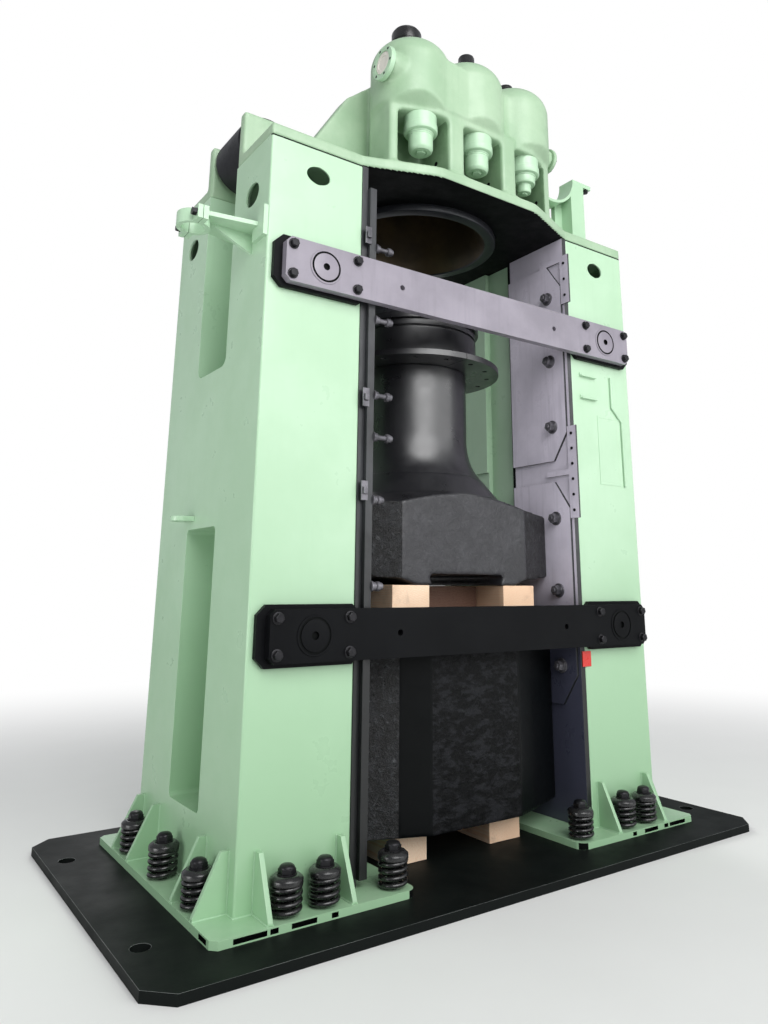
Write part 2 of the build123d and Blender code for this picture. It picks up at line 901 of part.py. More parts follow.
# Main cylinder
def make_liner():
    """The cylinder liner with its rim below the crown."""
    low = crown_base - liner_below
    high = crown_base + barrel_height
    liner = rod(liner_rim / 2, liner_below, 0, 0, low)
    liner += rod(liner_outside, high - crown_base, 0, 0, crown_base)
    liner -= rod(liner_bore / 2, high - low, 0, 0, low)
    lead = Cone(liner_bore / 2 + liner_lead, liner_bore / 2, liner_lead_height)
    return liner - Pos(0, 0, low + liner_lead_height / 2) * lead


def make_head():
    """The stepped cylinder head on top of the barrel."""
    low = crown_base + barrel_height
    head = rod(cylinder_head_radius, cylinder_head_height, 0, 0, low)
    dome = rod(cylinder_head_dome_radius, cylinder_head_dome, 0, 0, low + cylinder_head_height)
    return head + chamfer(dome.edges().group_by(Axis.Z)[-1], cylinder_head_dome / 2)


def make_head_bolts():
    """The ring of bolt heads on the cylinder head."""
    top = crown_base + barrel_height + cylinder_head_height
    heads = []
    for i in range(head_bolts):
        angle = 2 * pi * i / head_bolts
        x, y = head_bolt_circle * cos(angle), head_bolt_circle * sin(angle)
        heads.append(hexagon(head_bolt_across, head_bolt_height, x, y, top))
    return solids_of(heads)


# Upper ram with its piston and gland
def faceted_block(corners, z0, z1):
    """A block whose plan is given by the corners of one quarter."""
    right = list(corners) + [(x, -y) for x, y in reversed(corners)]
    return prism(right + [(-x, -y) for x, y in right], z0, z1)


def die_slot(z, way):
    """The dovetail slot for the die, cut up or down from height z."""
    mouth, root = die_slot_mouth / 2, die_slot_root / 2
    deep = z + way * die_slot_depth
    face = make_face(Polyline((-mouth, 0, z), (mouth, 0, z), (root, 0, deep), (-root, 0, deep), close=True))
    half = anvil_front_y + 10
    return Pos(0, half, 0) * extrude(face, 2 * half, dir=(0, -1, 0))


def make_ram():
    """Head, flare, trunk, rod and spigot forged as one piece."""
    low, top = ram_low, ram_low + ram_height
    bell = (trunk_radius + flare_out, 0, low + flare_low)
    bell_mid = (trunk_radius + flare_mid_out, 0, low + flare_mid)
    above = Polyline(
        (0, 0, low), (0, 0, piston_top), (spigot_radius, 0, piston_top), (spigot_radius, 0, piston_low),
        (rod_radius, 0, piston_low), (rod_radius, 0, gland_low), (trunk_radius, 0, gland_low),
        (trunk_radius, 0, low + flare_top),
    )
    flare = ThreePointArc((trunk_radius, 0, low + flare_top), bell_mid, bell)
    corner = (ram_front_half ** 2 + ram_front_y ** 2) ** 0.5
    below = Polyline(
        bell, (ram_front_y, 0, top), (corner, 0, top - ram_facet_drop),
        (ram_reach, 0, top - ram_end_drop), (ram_reach, 0, low), (0, 0, low),
    )
    body = revolve(make_face(above + flare + below), Axis.Z)
    plan = [(ram_front_half, -ram_front_y), (ram_half, -ram_corner_y)]
    ram = body & faceted_block(plan, low, piston_top)
    bevel = under_bevel()
    return ram - bevel - mirrored(bevel) - die_slot(low, 1)


def under_bevel():
    """What the head's underside loses towards one end."""
    low = ram_low
    rise = ram_under_bevel
    wedge = [
        (ram_flat_half, low), (ram_front_half, low + rise), (ram_reach, low + 2 * rise),
        (ram_reach, low - rise), (ram_flat_half, low - rise),
    ]
    face = make_face(Polyline(*[(x, 0, z) for x, z in wedge], close=True))
    return Pos(0, ram_reach, 0) * extrude(face, 2 * ram_reach, dir=(0, -1, 0))


def ring_heights():
    """Undersides of the piston rings."""
    pitch = piston_height / (piston_ring_count + 1)
    return [piston_low + pitch * (i + 1) - piston_ring_height / 2 for i in range(piston_ring_count)]


def make_piston():
    """The piston pressed on the spigot, grooved for its rings."""
    piston = rod(piston_radius, piston_height, 0, 0, piston_low)
    piston -= rod(spigot_radius, piston_height, 0, 0, piston_low)
    for z in ring_heights():
        groove = rod(piston_radius, piston_ring_height, 0, 0, z)
        groove -= rod(piston_radius - piston_ring_depth, piston_ring_height, 0, 0, z)
        piston -= groove
    return piston


def make_piston_ring(z):
    """A split piston ring."""
    ring = rod(piston_radius + ring_proud, piston_ring_height, 0, 0, z)
    ring -= rod(piston_radius - piston_ring_depth, piston_ring_height, 0, 0, z)
    half = ring_gap_width / 2
    return ring - block(0, 2 * piston_radius, -half, half, z, z + piston_ring_height)


def make_piston_plate():
    """The bolted plate that holds the piston on its spigot."""
    plate = rod(piston_plate_radius, piston_plate_height, 0, 0, piston_top)
    for i in range(piston_plate_bolts):
        angle = 2 * pi * i / piston_plate_bolts
        x, y = piston_plate_bolt_circle * cos(angle), piston_plate_bolt_circle * sin(angle)
        plate += hexagon(piston_plate_bolt, piston_plate_height, x, y, piston_top + piston_plate_height)
    return plate


def make_gland():
    """The gland bush round the rod, above its split flange."""
    low = gland_low + gland_flange
    gland = rod(gland_radius, gland_height, 0, 0, low)
    gland -= rod(rod_radius + gland_play, gland_height, 0, 0, low)
    gland -= rod(rod_radius + gland_packing_width, gland_packing_height, 0, 0, low)
    groove_z = piston_low - gland_groove_drop
    groove = rod(gland_radius, gland_groove, 0, 0, groove_z)
    groove -= rod(gland_radius - gland_groove, gland_groove, 0, 0, groove_z)
    return gland - groove


def make_packing():
    """The packing that grips the rod."""
    low = gland_low + gland_flange
    packing = rod(rod_radius + gland_packing_width, gland_packing_height, 0, 0, low)
    return packing - rod(rod_radius, gland_packing_height, 0, 0, low)


def make_gland_half(side):
    """One half of the split gland flange, resting on the trunk's shoulder."""
    ring = rod(gland_flange_radius, gland_flange, 0, 0, gland_low)
    ring -= rod(rod_radius + gland_play, gland_flange, 0, 0, gland_low)
    for i in range(gland_bolts):
        angle = 2 * pi * (i + 0.5) / gland_bolts
        x, y = gland_bolt_circle * cos(angle), gland_bolt_circle * sin(angle)
        ring -= rod(gland_bolt_hole / 2, gland_flange, x, y, gland_low)
    x0, x1 = sorted((side * gland_split / 2, side * 2 * gland_flange_radius))
    reach = 2 * gland_flange_radius
    return ring & block(x0, x1, -reach, reach, gland_low, gland_low + gland_flange)


# Lower ram
def make_anvil():
    """The faceted lower ram with a die slot in its top."""
    plan = [
        (anvil_front_half, -anvil_front_y), (anvil_facet_half, -anvil_facet_y), (ram_half, -anvil_corner_y),
    ]
    return faceted_block(plan, anvil_low, anvil_top) - die_slot(anvil_top, -1)


# Timbers
def make_timbers(width, x, length, z0, z1):
    """Two sawn timbers, one each side of the middle."""
    timber = block(x - width / 2, x + width / 2, -length / 2, length / 2, z0, z1)
    timber = chamfer(timber.edges().filter_by(Axis.Y), timber_arris)
    return solids_of([timber, mirrored(timber)])


def make_plank():
    """The spreader plank between the upper timbers."""
    half = upper_timber_x - upper_timber_width / 2
    z = anvil_top + timber_arris
    y0 = plank_y - plank_thickness / 2
    return block(-half, half, y0, y0 + plank_thickness, z, z + plank_height)


# Guides
def make_guide(way):
    """One guide plate on the right column, front (-1) or rear (1)."""
    y0, y1 = sorted((way * half_depth, way * (half_depth - guide_width)))
    return block(half_gap - guide_thickness, half_gap, y0, y1, foot_top, crown_base)


def make_wear_plate(way, low):
    """A wear plate with its outer corners cut back."""
    near = half_depth - wear_inset
    far = half_depth - guide_width
    z0, z1 = foot_top + low, foot_top + low + wear_length
    outline = [
        (far, z0), (near - wear_cut_wide, z0), (near, z0 + wear_cut_long), (near, z1 - wear_cut_long),
        (near - wear_cut_wide, z1), (far, z1),
    ]
    face = make_face(Polyline(*[(guide_face, way * y, z) for y, z in outline], close=True))
    return extrude(face, liner_thickness, dir=(1, 0, 0))


def make_guide_bolts(way):
    """Washers and bolt heads on the wear plates of one guide."""
    heads = []
    for low in (wear_low_z, wear_high_z):
        for i in range(guide_bolt_count):
            z = foot_top + low + wear_length - guide_bolt_first - i * guide_bolt_pitch
            y = way * guide_bolt_y
            washer_x = guide_face - guide_washer_thickness
            washer = rod_x(guide_washer / 2, guide_washer_thickness, washer_x, y, z)
            head = extrude(RegularPolygon(guide_bolt_head / 2, 6, major_radius=False), guide_bolt_height)
            heads.append(washer + Pos(washer_x - guide_bolt_height, y, z) * Rot(0, 90, 0) * head)
    return heads


def make_rail(span, arm_z):
    """A screwed strip on the front edge of a guide, with a side arm."""
    z0, z1 = foot_top + span[0], foot_top + span[1]
    x1 = half_gap - guide_thickness
    x0 = x1 - rail_thickness
    y0 = -half_depth - rail_proud
    rail = block(x0, x1, y0, y0 + rail_width, z0, z1)
    rail += block(x0, x1, y0, y0 + rail_proud + rail_arm_reach, z0 + arm_z, z0 + arm_z + rail_arm)
    count = int((z1 - z0) // rail_screw_pitch)
    for i in range(count):
        z = z0 + (i + 0.5) * (z1 - z0) / count
        rail += rod_x(rail_screw / 2, rail_screw_head, x0 - rail_screw_head, y0 + rail_width / 2, z)
    return rail


def make_strip():
    """The plain full-height strip along the front edge of the left guide."""
    x0 = guide_thickness - half_gap
    y0 = -half_depth - strip_proud
    z0, z1 = foot_top + strip_span[0], foot_top + strip_span[1]
    return block(x0, x0 + strip_thickness, y0, y0 + strip_width, z0, z1)


# Tie bars
def make_tie_bar(z):
    """The flat bar across the two columns, with its two plain holes."""
    y = tie_front
    half = tie_length / 2
    bar = block(-half, half, y, y + tie_thickness, z - tie_height / 2, z + tie_height / 2)
    bar = chamfer(bar.edges().filter_by(Axis.Y), tie_corner)
    for x in (-tie_hole_x, tie_hole_x):
        bar -= rod_y(tie_hole / 2, tie_thickness, x, y, z)
    for side in (-1, 1):
        bar -= rod_y(tie_pin_radius + running_fit, tie_thickness, side * tie_centre_x, y, z)
        for x, h in tie_bolt_places(side, z):
            bar -= rod_y(tie_bolt / 2 + tie_bolt_play, tie_thickness, x, y, h)
    return bar


def make_pad(side, z):
    """The chamfered pad between a column and a tie bar."""
    y = -half_depth - pad_thickness
    x = side * tie_centre_x
    x0, z0 = x - pad_width / 2, z - pad_height / 2
    pad = block(x0, x0 + pad_width, y, y + pad_thickness, z0, z0 + pad_height)
    pad = chamfer(pad.edges().filter_by(Axis.Y), pad_corner)
    pad -= rod_y(tie_pin_radius + running_fit, pad_thickness, x, y, z)
    for bx, bz in tie_bolt_places(side, z):
        pad -= rod_y(tie_bolt / 2 + tie_bolt_play, pad_thickness, bx, y, bz)
    return pad


def tie_bolt_places(side, z):
    """The four bolts round one pin."""
    return [
        (side * tie_centre_x + dx, z + dz)
        for dx in (-tie_bolt_dx, tie_bolt_dx) for dz in (-tie_bolt_dz, tie_bolt_dz)
    ]


def make_tie_pins(z):
    """The shear pins that carry the bar, with a turned groove and a centre."""
    pins = []
    length = tie_pin_proud + tie_thickness + pad_thickness
    for side in (-1, 1):
        x = side * tie_centre_x
        pin = rod_y(tie_pin_radius, length, x, tie_front - tie_pin_proud, z)
        groove = rod_y(tie_pin_radius - tie_pin_groove, tie_pin_proud, x, tie_front - tie_pin_proud, z)
        groove -= rod_y(tie_pin_radius - 2 * tie_pin_groove, tie_pin_proud, x, tie_front - tie_pin_proud, z)
        pin -= groove
        pin -= rod_y(tie_pin_groove, length / 2, x, tie_front - tie_pin_proud, z)
        pins.append(pin)
    return solids_of(pins)


def make_tie_bolts(z):
    """The bolts round the pins: heads and shanks as far as the column face."""
    bolts = []
    for side in (-1, 1):
        for x, h in tie_bolt_places(side, z):
            shank = rod_y(tie_bolt / 2, tie_thickness + pad_thickness, x, tie_front, h)
            head = hexagon_y(tie_bolt_across, tie_bolt_head, x, tie_front - tie_bolt_head, h)
            bolts.append(shank + head)
    return solids_of(bolts)


# Pipe clamp on the left column
def clamp_ears(x0, x1):
    """The bolting ears at both ends of one half of the ring."""
    inner = (clamp_bore + clamp_outside) / 2
    outer = clamp_outside + clamp_ear
    top = clamp_low + clamp_height
    ears = block(x0, x1, clamp_y - outer, clamp_y - inner, clamp_low, top)
    return ears + block(x0, x1, clamp_y + inner, clamp_y + outer, clamp_low, top)


def clamp_side(x0, x1):
    """The space on one side of the split between the clamp's halves."""
    far = 2 * clamp_outside
    return block(x0, x1, clamp_y - far, clamp_y + far, clamp_low, clamp_low + clamp_height)


def make_clamp():
    """Shelf, wall plate, rib and the fixed half of the ring."""
    z1 = clamp_low + clamp_height
    ring = rod(clamp_outside, clamp_height, clamp_x, clamp_y, clamp_low)
    shelf = prism(
        [(-half_outside, clamp_shelf_front), (-half_outside, clamp_shelf_back),
         (clamp_x, clamp_y + clamp_outside), (clamp_x, clamp_y - clamp_outside)],
        z1 - clamp_arm, z1)
    plate = block(-half_outside - clamp_arm, -half_outside, clamp_plate_front, clamp_plate_back,
                  clamp_plate_low, clamp_plate_high)
    rib_top = z1 - clamp_arm
    rib_face = make_face(Polyline(
        (-half_outside, 0, rib_top - clamp_rib_drop), (-half_outside, 0, rib_top),
        (clamp_x + clamp_outside, 0, rib_top), close=True))
    rib = Pos(0, clamp_y + clamp_arm / 2, 0) * extrude(rib_face, clamp_arm, dir=(0, -1, 0))
    clamp = ring + shelf + plate + rib + clamp_ears(clamp_x, clamp_x + clamp_ear_width)
    clamp -= rod(clamp_bore, clamp_height, clamp_x, clamp_y, clamp_low)
    return clamp - clamp_side(clamp_x - 2 * clamp_outside, clamp_x + clamp_split / 2)


def make_clamp_cap():
    """The loose half of the clamp ring, with its bolt ears."""
    ring = rod(clamp_outside, clamp_height, clamp_x, clamp_y, clamp_low)
    ring += clamp_ears(clamp_x - clamp_ear_width, clamp_x)
    ring -= rod(clamp_bore, clamp_height, clamp_x, clamp_y, clamp_low)
    for y, z in clamp_bolt_places():
        ring -= rod_x(clamp_bolt / 2 + running_fit, clamp_ear_width, clamp_x - clamp_ear_width, y, z)
    return ring - clamp_side(clamp_x - clamp_split / 2, clamp_x + 2 * clamp_outside)


def clamp_bolt_places():
    """Where the two clamp bolts run."""
    z = clamp_low + clamp_height / 2
    return [(clamp_y + way * (clamp_outside + clamp_ear / 2), z) for way in (-1, 1)]


def make_clamp_bolts():
    """The bolts that draw the loose half of the clamp to the fixed half."""
    head_x = clamp_x - clamp_ear_width - clamp_bolt_head
    end_x = clamp_x + clamp_split / 2
    bolts = []
    for y, z in clamp_bolt_places():
        head = extrude(RegularPolygon(clamp_bolt_across / 2, 6, major_radius=False), clamp_bolt_head)
        shank = rod_x(clamp_bolt / 2, end_x - head_x, head_x, y, z)
        bolts.append(Pos(head_x, y, z) * Rot(0, 90, 0) * head + shank)
    return bolts


# Lifting eyes
def make_eye():
    """A flat welded eye above the right column's lower pocket."""
    x = half_outside + eye_outside
    z = foot_top + eye_z
    eye = rod(eye_outside, eye_thickness, x, eye_y, z)
    eye += block(half_outside, x, eye_y - eye_outside, eye_y + eye_outside, z, z + eye_thickness)
    return eye - rod(eye_bore, eye_thickness, x, eye_y, z)


# Small fittings on the right column
def make_shelves():
    """The two small angle ledges on the front of the right column."""
    shelves = []
    for height in shelf_z:
        z = foot_top + height
        x0, x1 = shelf_x - shelf_width / 2, shelf_x + shelf_width / 2
        ledge = block(x0, x1, -half_depth - shelf_depth, -half_depth, z, z + shelf_plate)
        back = block(x0, x1, -half_depth - shelf_plate, -half_depth, z, z + shelf_depth)
        shelves.append(ledge + back)
    return shelves


def make_conduit():
    """The thin bent conduit beside the ledges."""
    low, mid, high = (foot_top + z for z in conduit_z)
    y = -half_depth - conduit_radius
    far_x = conduit_x + conduit_step
    bend = [(conduit_x, y, mid), (far_x, y, mid - conduit_step)]
    path = Polyline((conduit_x, y, high), *bend, (far_x, y, low))
    section = Plane((conduit_x, y, high), z_dir=(0, 0, -1)) * Circle(conduit_radius)
    return sweep(section, path=path, transition=Transition.ROUND)


def make_tag():
    """The plain tag on the guide's front edge."""
    z = foot_top + tag_z
    x0, x1 = tag_x - tag_width / 2, tag_x + tag_width / 2
    return block(x0, x1, -half_depth - tag_thickness, -half_depth, z, z + tag_height)


right_foot = make_foot()
right_gussets = make_gussets()
right_column = make_column()
save(make_base_plate(), "base_plate")
save(right_foot, "right_foot")
save(mirrored(right_foot), "left_foot")
save(solids_of([right_gussets, mirrored(right_gussets)]), "gussets")
save(right_column, "right_column")
save(mirrored(right_column), "left_column")
for side, name in ((1, "right"), (-1, "left")):
    springs, caps, nuts, bolts = make_foot_set(side)
    save(springs, f"{name}_foot_springs")
    save(caps, f"{name}_spring_caps")
    save(nuts, f"{name}_foot_nuts")
    save(bolts, f"{name}_foot_bolts")

valves = valve_places()
save(cut_crown(make_crown()), "crown")
save(make_liner(), "cylinder_liner")
save(make_head(), "cylinder_head")
save(make_head_bolts(), "head_bolts")
save(solids_of([make_bonnet(x, y) for x, y in valves]), "valve_bonnets")
caps = cap_places()
save(make_inlet_cap(*caps[0]), "inlet_cap")
save(solids_of([make_lobe_cap(x, y) for x, y in caps[1:]]), "lobe_caps")
for (x, y), name in zip(valves, ("left", "middle", "right")):
    save(make_spool(x, y), f"{name}_spool")
save(make_inlet_flange(), "inlet_flange")
save(make_outlet_cover(), "outlet_cover")
save(make_cradle(), "cradle")
save(make_roller(1), "right_roller")
save(make_roller(-1), "left_roller")
save(solids_of([make_axle(1), make_axle(-1)]), "roller_axles")

save(make_ram(), "upper_ram")
save(make_piston(), "piston")
save(solids_of([make_piston_ring(z) for z in ring_heights()]), "piston_rings")
save(make_piston_plate(), "piston_plate")
save(make_gland(), "gland")
save(make_packing(), "gland_packing")
save(make_gland_half(1), "right_gland_half")
save(make_gland_half(-1), "left_gland_half")

save(make_anvil(), "lower_ram")
save(make_timbers(lower_timber_width, lower_timber_x, lower_timber_length, base_thickness, anvil_low),
     "lower_timbers")
save(make_timbers(upper_timber_width, upper_timber_x, upper_timber_length, anvil_top, ram_low),
     "upper_timbers")
save(make_plank(), "spreader_plank")

guides = [make_guide(-1), make_guide(1)]
wear_plates = [make_wear_plate(way, low) for way in (-1, 1) for low in (wear_low_z, wear_high_z)]
guide_bolts = make_guide_bolts(-1) + make_guide_bolts(1)
for name, turn in (("right", lambda shape: shape), ("left", mirrored)):
    save(solids_of([turn(shape) for shape in guides]), f"{name}_guides")
    save(solids_of([turn(shape) for shape in wear_plates]), f"{name}_wear_plates")
    save(solids_of([turn(shape) for shape in guide_bolts]), f"{name}_guide_bolts")
rails = [make_rail(rail_low, rail_low_arm), make_rail(rail_high, rail_high_arm)]
save(solids_of(rails + [make_strip()]), "guide_rails")

tie_heights = (foot_top + upper_tie_z, foot_top + lower_tie_z)
save(make_tie_bar(tie_heights[0]), "upper_tie_bar")
save(make_tie_bar(tie_heights[1]), "lower_tie_bar")
save(solids_of([make_pad(side, z) for side in (-1, 1) for z in tie_heights]), "tie_pads")
save(solids_of([make_tie_pins(z) for z in tie_heights]), "tie_pins")
save(solids_of([make_tie_bolts(z) for z in tie_heights]), "tie_bolts")

save(make_clamp(), "pipe_clamp")
save(make_clamp_cap(), "pipe_clamp_cap")
save(solids_of(make_clamp_bolts() + make_cradle_bolts()), "bracket_bolts")
eye = make_eye()
save(solids_of([eye, mirrored(eye)]), "lifting_eyes")
save(solids_of(make_shelves() + [make_conduit(), make_tag()]), "column_fittings")
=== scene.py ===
"""The counterblow forging hammer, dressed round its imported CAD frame.

Every piece stands where the CAD puts it, in metres: X across the columns, Y to the
rear, Z up from the floor.
"""

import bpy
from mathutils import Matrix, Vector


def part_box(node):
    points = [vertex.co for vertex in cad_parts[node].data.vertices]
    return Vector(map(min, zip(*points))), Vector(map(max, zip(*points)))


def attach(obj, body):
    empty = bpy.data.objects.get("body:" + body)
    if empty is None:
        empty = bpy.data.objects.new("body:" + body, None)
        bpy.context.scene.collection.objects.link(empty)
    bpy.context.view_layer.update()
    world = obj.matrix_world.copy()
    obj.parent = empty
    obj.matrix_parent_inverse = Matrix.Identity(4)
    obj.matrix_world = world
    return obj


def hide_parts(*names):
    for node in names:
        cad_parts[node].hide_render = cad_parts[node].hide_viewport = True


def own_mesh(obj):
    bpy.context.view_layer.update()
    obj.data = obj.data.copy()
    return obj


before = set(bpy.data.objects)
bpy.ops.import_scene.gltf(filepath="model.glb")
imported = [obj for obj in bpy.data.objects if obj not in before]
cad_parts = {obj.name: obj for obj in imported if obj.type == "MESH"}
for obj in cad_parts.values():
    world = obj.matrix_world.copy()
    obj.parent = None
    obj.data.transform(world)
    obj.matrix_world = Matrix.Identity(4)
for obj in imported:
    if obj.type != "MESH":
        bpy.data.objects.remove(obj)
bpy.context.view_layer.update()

import logging
from collections.abc import Callable
from dataclasses import dataclass
from enum import Enum
from math import cos, pi, radians, sin

import bpy
from mathutils import Vector

logging.basicConfig(level=logging.INFO, format="%(message)s", force=True)
LOG = logging.getLogger("forging_hammer")

Piece = bpy.types.Object
Socket = bpy.types.NodeSocket
Point = tuple[float, float, float]
Profile = list[tuple[float, float]]
Colour = tuple[int, int, int]

SMOOTH_ANGLE = radians(32)
BEVEL_ANGLE = radians(35)
FLAT_ANGLE = radians(0.4)
MERGE_GAP = 0.00002
FACING = 0.9
BOTH_SIDES = (("right", 1), ("left", -1))


class Axis(Enum):
    """The direction in which a turned piece's own axis lies."""

    X = (0.0, pi / 2, 0.0)
    MINUS_X = (0.0, -pi / 2, 0.0)
    Y = (-pi / 2, 0.0, 0.0)
    MINUS_Y = (pi / 2, 0.0, 0.0)
    Z = (0.0, 0.0, 0.0)
    MINUS_Z = (pi, 0.0, 0.0)


def linear(colour: Colour) -> tuple[float, float, float, float]:
    """Turn a screen colour of 0 to 255 into the linear one that shaders read.

    Args:
        colour: Red, green and blue from 0 to 255.

    Returns:
        Linear red, green and blue from 0 to 1, and an alpha of 1.
    """
    parts = []
    for value in colour:
        share = value / 255
        parts.append(share / 12.92 if share <= 0.04045 else ((share + 0.055) / 1.055) ** 2.4)
    return parts[0], parts[1], parts[2], 1.0


# Modelling by hand


def deselect() -> None:
    """Leave edit mode and select nothing."""
    if bpy.context.object is not None and bpy.context.object.mode != "OBJECT":
        bpy.ops.object.mode_set(mode="OBJECT")
    bpy.ops.object.select_all(action="DESELECT")


def activate(piece: Piece) -> None:
    """Select one piece alone and make it the active one."""
    deselect()
    piece.hide_set(False)
    piece.select_set(True)
    bpy.context.view_layer.objects.active = piece


def named(name: str) -> Piece:
    """Name the piece that an operator has just added, and its mesh."""
    piece = bpy.context.object
    piece.name = name
    piece.data.name = name
    return piece


def edit(piece: Piece) -> None:
    """Open a piece in edit mode with everything selected."""
    activate(piece)
    bpy.ops.object.mode_set(mode="EDIT")
    bpy.ops.mesh.select_mode(type="VERT")
    bpy.ops.mesh.select_all(action="SELECT")


def close() -> None:
    """Go back to object mode."""
    bpy.ops.object.mode_set(mode="OBJECT")


def pick_faces(piece: Piece, way: Point) -> None:
    """Open a piece in edit mode with only the faces that look one way selected."""
    edit(piece)
    bpy.ops.mesh.select_all(action="DESELECT")
    bpy.ops.mesh.select_mode(type="FACE")
    close()
    for face in piece.data.polygons:
        face.select = face.normal.dot(Vector(way)) > FACING
    bpy.ops.object.mode_set(mode="EDIT")


def settle(piece: Piece) -> Piece:
    """Put a piece's place into its mesh, so that its object is at the origin."""
    activate(piece)
    bpy.ops.object.transform_apply(location=True, rotation=True, scale=True)
    return piece


def modify(piece: Piece, kind: str, **settings: object) -> None:
    """Add a modifier and apply it.

    Args:
        piece: The piece that changes.
        kind: Blender's name of the modifier type.
        settings: The modifier's own settings.
    """
    activate(piece)
    modifier = piece.modifiers.new(kind.lower(), kind)
    for key, value in settings.items():
        setattr(modifier, key, value)
    bpy.ops.object.modifier_apply(modifier=modifier.name)


def smooth(piece: Piece, angle: float = SMOOTH_ANGLE) -> None:
    """Shade the faces smooth, except across sharp edges."""
    activate(piece)
    bpy.ops.object.shade_smooth_by_angle(angle=angle)


def soften(piece: Piece, width: float, segments: int = 2) -> None:
    """Round the sharp edges of a piece and shade it smooth."""
    modify(piece, "BEVEL", width=width, segments=segments, limit_method="ANGLE",
           angle_limit=BEVEL_ANGLE, use_clamp_overlap=True, harden_normals=False)
    smooth(piece)
    modify(piece, "WEIGHTED_NORMAL", weight=100, keep_sharp=True)


def outwards(piece: Piece, fill: bool = False) -> None:
    """Merge doubled points, close open ends if asked to, and turn every face outwards."""
    edit(piece)
    bpy.ops.mesh.remove_doubles(threshold=MERGE_GAP)
    if fill:
        bpy.ops.mesh.fill_holes(sides=0)
        bpy.ops.mesh.select_all(action="SELECT")
    bpy.ops.mesh.normals_make_consistent(inside=False)
    close()


def duplicate(source: Piece, name: str) -> Piece:
    """Copy a piece together with its mesh."""
    twin = bpy.data.objects.new(name, source.data.copy())
    twin.data.name = name
    bpy.context.scene.collection.objects.link(twin)
    return twin


def node_copy(node: str, name: str, flat: bool = True) -> Piece:
    """Copy a CAD node's mesh into a new piece whose points are merged.

    Args:
        node: The CAD node.
        name: The new piece's name.
        flat: Whether triangles in one plane become one face.

    Returns:
        The new piece.
    """
    piece = duplicate(bpy.data.objects[node], name)
    edit(piece)
    bpy.ops.mesh.customdata_custom_splitnormals_clear()
    bpy.ops.mesh.remove_doubles(threshold=MERGE_GAP)
    if flat:
        bpy.ops.mesh.dissolve_limited(angle_limit=FLAT_ANGLE)
    close()
    return piece


def turned(name: str, profile: Profile, place: Point, axis: Axis = Axis.Z,
           segments: int = 96) -> Piece:
    """Turn a piece on its axis from a profile, as on a lathe.

    Args:
        name: The piece's name.
        profile: Radius and height of each corner; a closed ring ends where it starts.
        place: Where the profile's height 0 lies on the axis.
        axis: Where the piece's height points.
        segments: Faces round the piece.

    Returns:
        The finished piece, at the origin.
    """
    deselect()
    radius, height = profile[0]
    bpy.ops.mesh.primitive_circle_add(vertices=segments, radius=radius, location=(0, 0, height))
    piece = settle(named(name))
    edit(piece)
    for next_radius, next_height in profile[1:]:
        bpy.ops.mesh.extrude_region_move(
            TRANSFORM_OT_translate={"value": (0, 0, next_height - height)})
        scale = next_radius / radius
        bpy.ops.transform.resize(value=(scale, scale, 1), center_override=(0, 0, next_height))
        radius, height = next_radius, next_height
    if profile[-1] != profile[0]:
        bpy.ops.mesh.edge_face_add()
        bpy.ops.mesh.select_all(action="DESELECT")
        bpy.ops.mesh.select_non_manifold()
        bpy.ops.mesh.edge_face_add()
    close()
    outwards(piece)
    piece.rotation_euler = axis.value
    piece.location = place
    settle(piece)
    smooth(piece)
    return piece


def block(name: str, low: Point, high: Point) -> Piece:
    """Make a rectangular piece between two corners."""
    deselect()
    centre = [(a + b) / 2 for a, b in zip(low, high)]
    bpy.ops.mesh.primitive_cube_add(size=1, location=centre)
    piece = named(name)
    piece.scale = [b - a for a, b in zip(low, high)]
    return settle(piece)


def slab(name: str, low: Point, high: Point, edge: float) -> Piece:
    """Cut a rectangular piece between two corners, with rounded edges."""
    piece = block(name, low, high)
    soften(piece, edge)
    return piece


def hexagon(name: str, across: float, height: float, place: Point, axis: Axis,
            turn: float = 0.0) -> Piece:
    """Make a hexagon head whose top is raised inside a narrow chamfer.

    Args:
        name: The piece's name.
        across: Size across flats.
        height: Height of the head.
        place: The middle of its seat.
        axis: Where the head points.
        turn: Turn about its own axis.

    Returns:
        The head.
    """
    chamfer, rise, edge = across * 0.07, height * 0.12, across * 0.02
    deselect()
    bpy.ops.mesh.primitive_cylinder_add(vertices=6, radius=across / 2 / cos(pi / 6), depth=height,
                                        location=(0, 0, height / 2))
    piece = settle(named(name))
    pick_faces(piece, (0, 0, 1))
    bpy.ops.mesh.inset(thickness=chamfer)
    bpy.ops.transform.translate(value=(0, 0, rise))
    close()
    piece.rotation_euler = (0, 0, turn)
    settle(piece)
    piece.rotation_euler = axis.value
    piece.location = place
    settle(piece)
    soften(piece, edge)
    return piece


def copies(piece: Piece, places: list[Point], name: str) -> Piece:
    """Set copies of a piece at several places and join them.

    Args:
        piece: The first one, modelled at the origin; it is used up.
        places: How far each copy is moved.
        name: The joined piece's name.

    Returns:
        The joined piece.
    """
    made = []
    for place in places:
        twin = duplicate(piece, name)
        twin.location = place
        made.append(settle(twin))
    bpy.data.objects.remove(piece)
    return joined(made, name)


def joined(pieces: list[Piece], name: str) -> Piece:
    """Join pieces that belong together into one."""
    activate(pieces[0])
    for piece in pieces[1:]:
        piece.select_set(True)
    if len(pieces) > 1:
        bpy.ops.object.join()
    return named(name)


def reflected(piece: Piece, name: str) -> Piece:
    """Copy a piece to the other side of the middle."""
    twin = duplicate(piece, name)
    twin.scale = (-1, 1, 1)
    settle(twin)
    edit(twin)
    bpy.ops.mesh.flip_normals()
    close()
    return twin


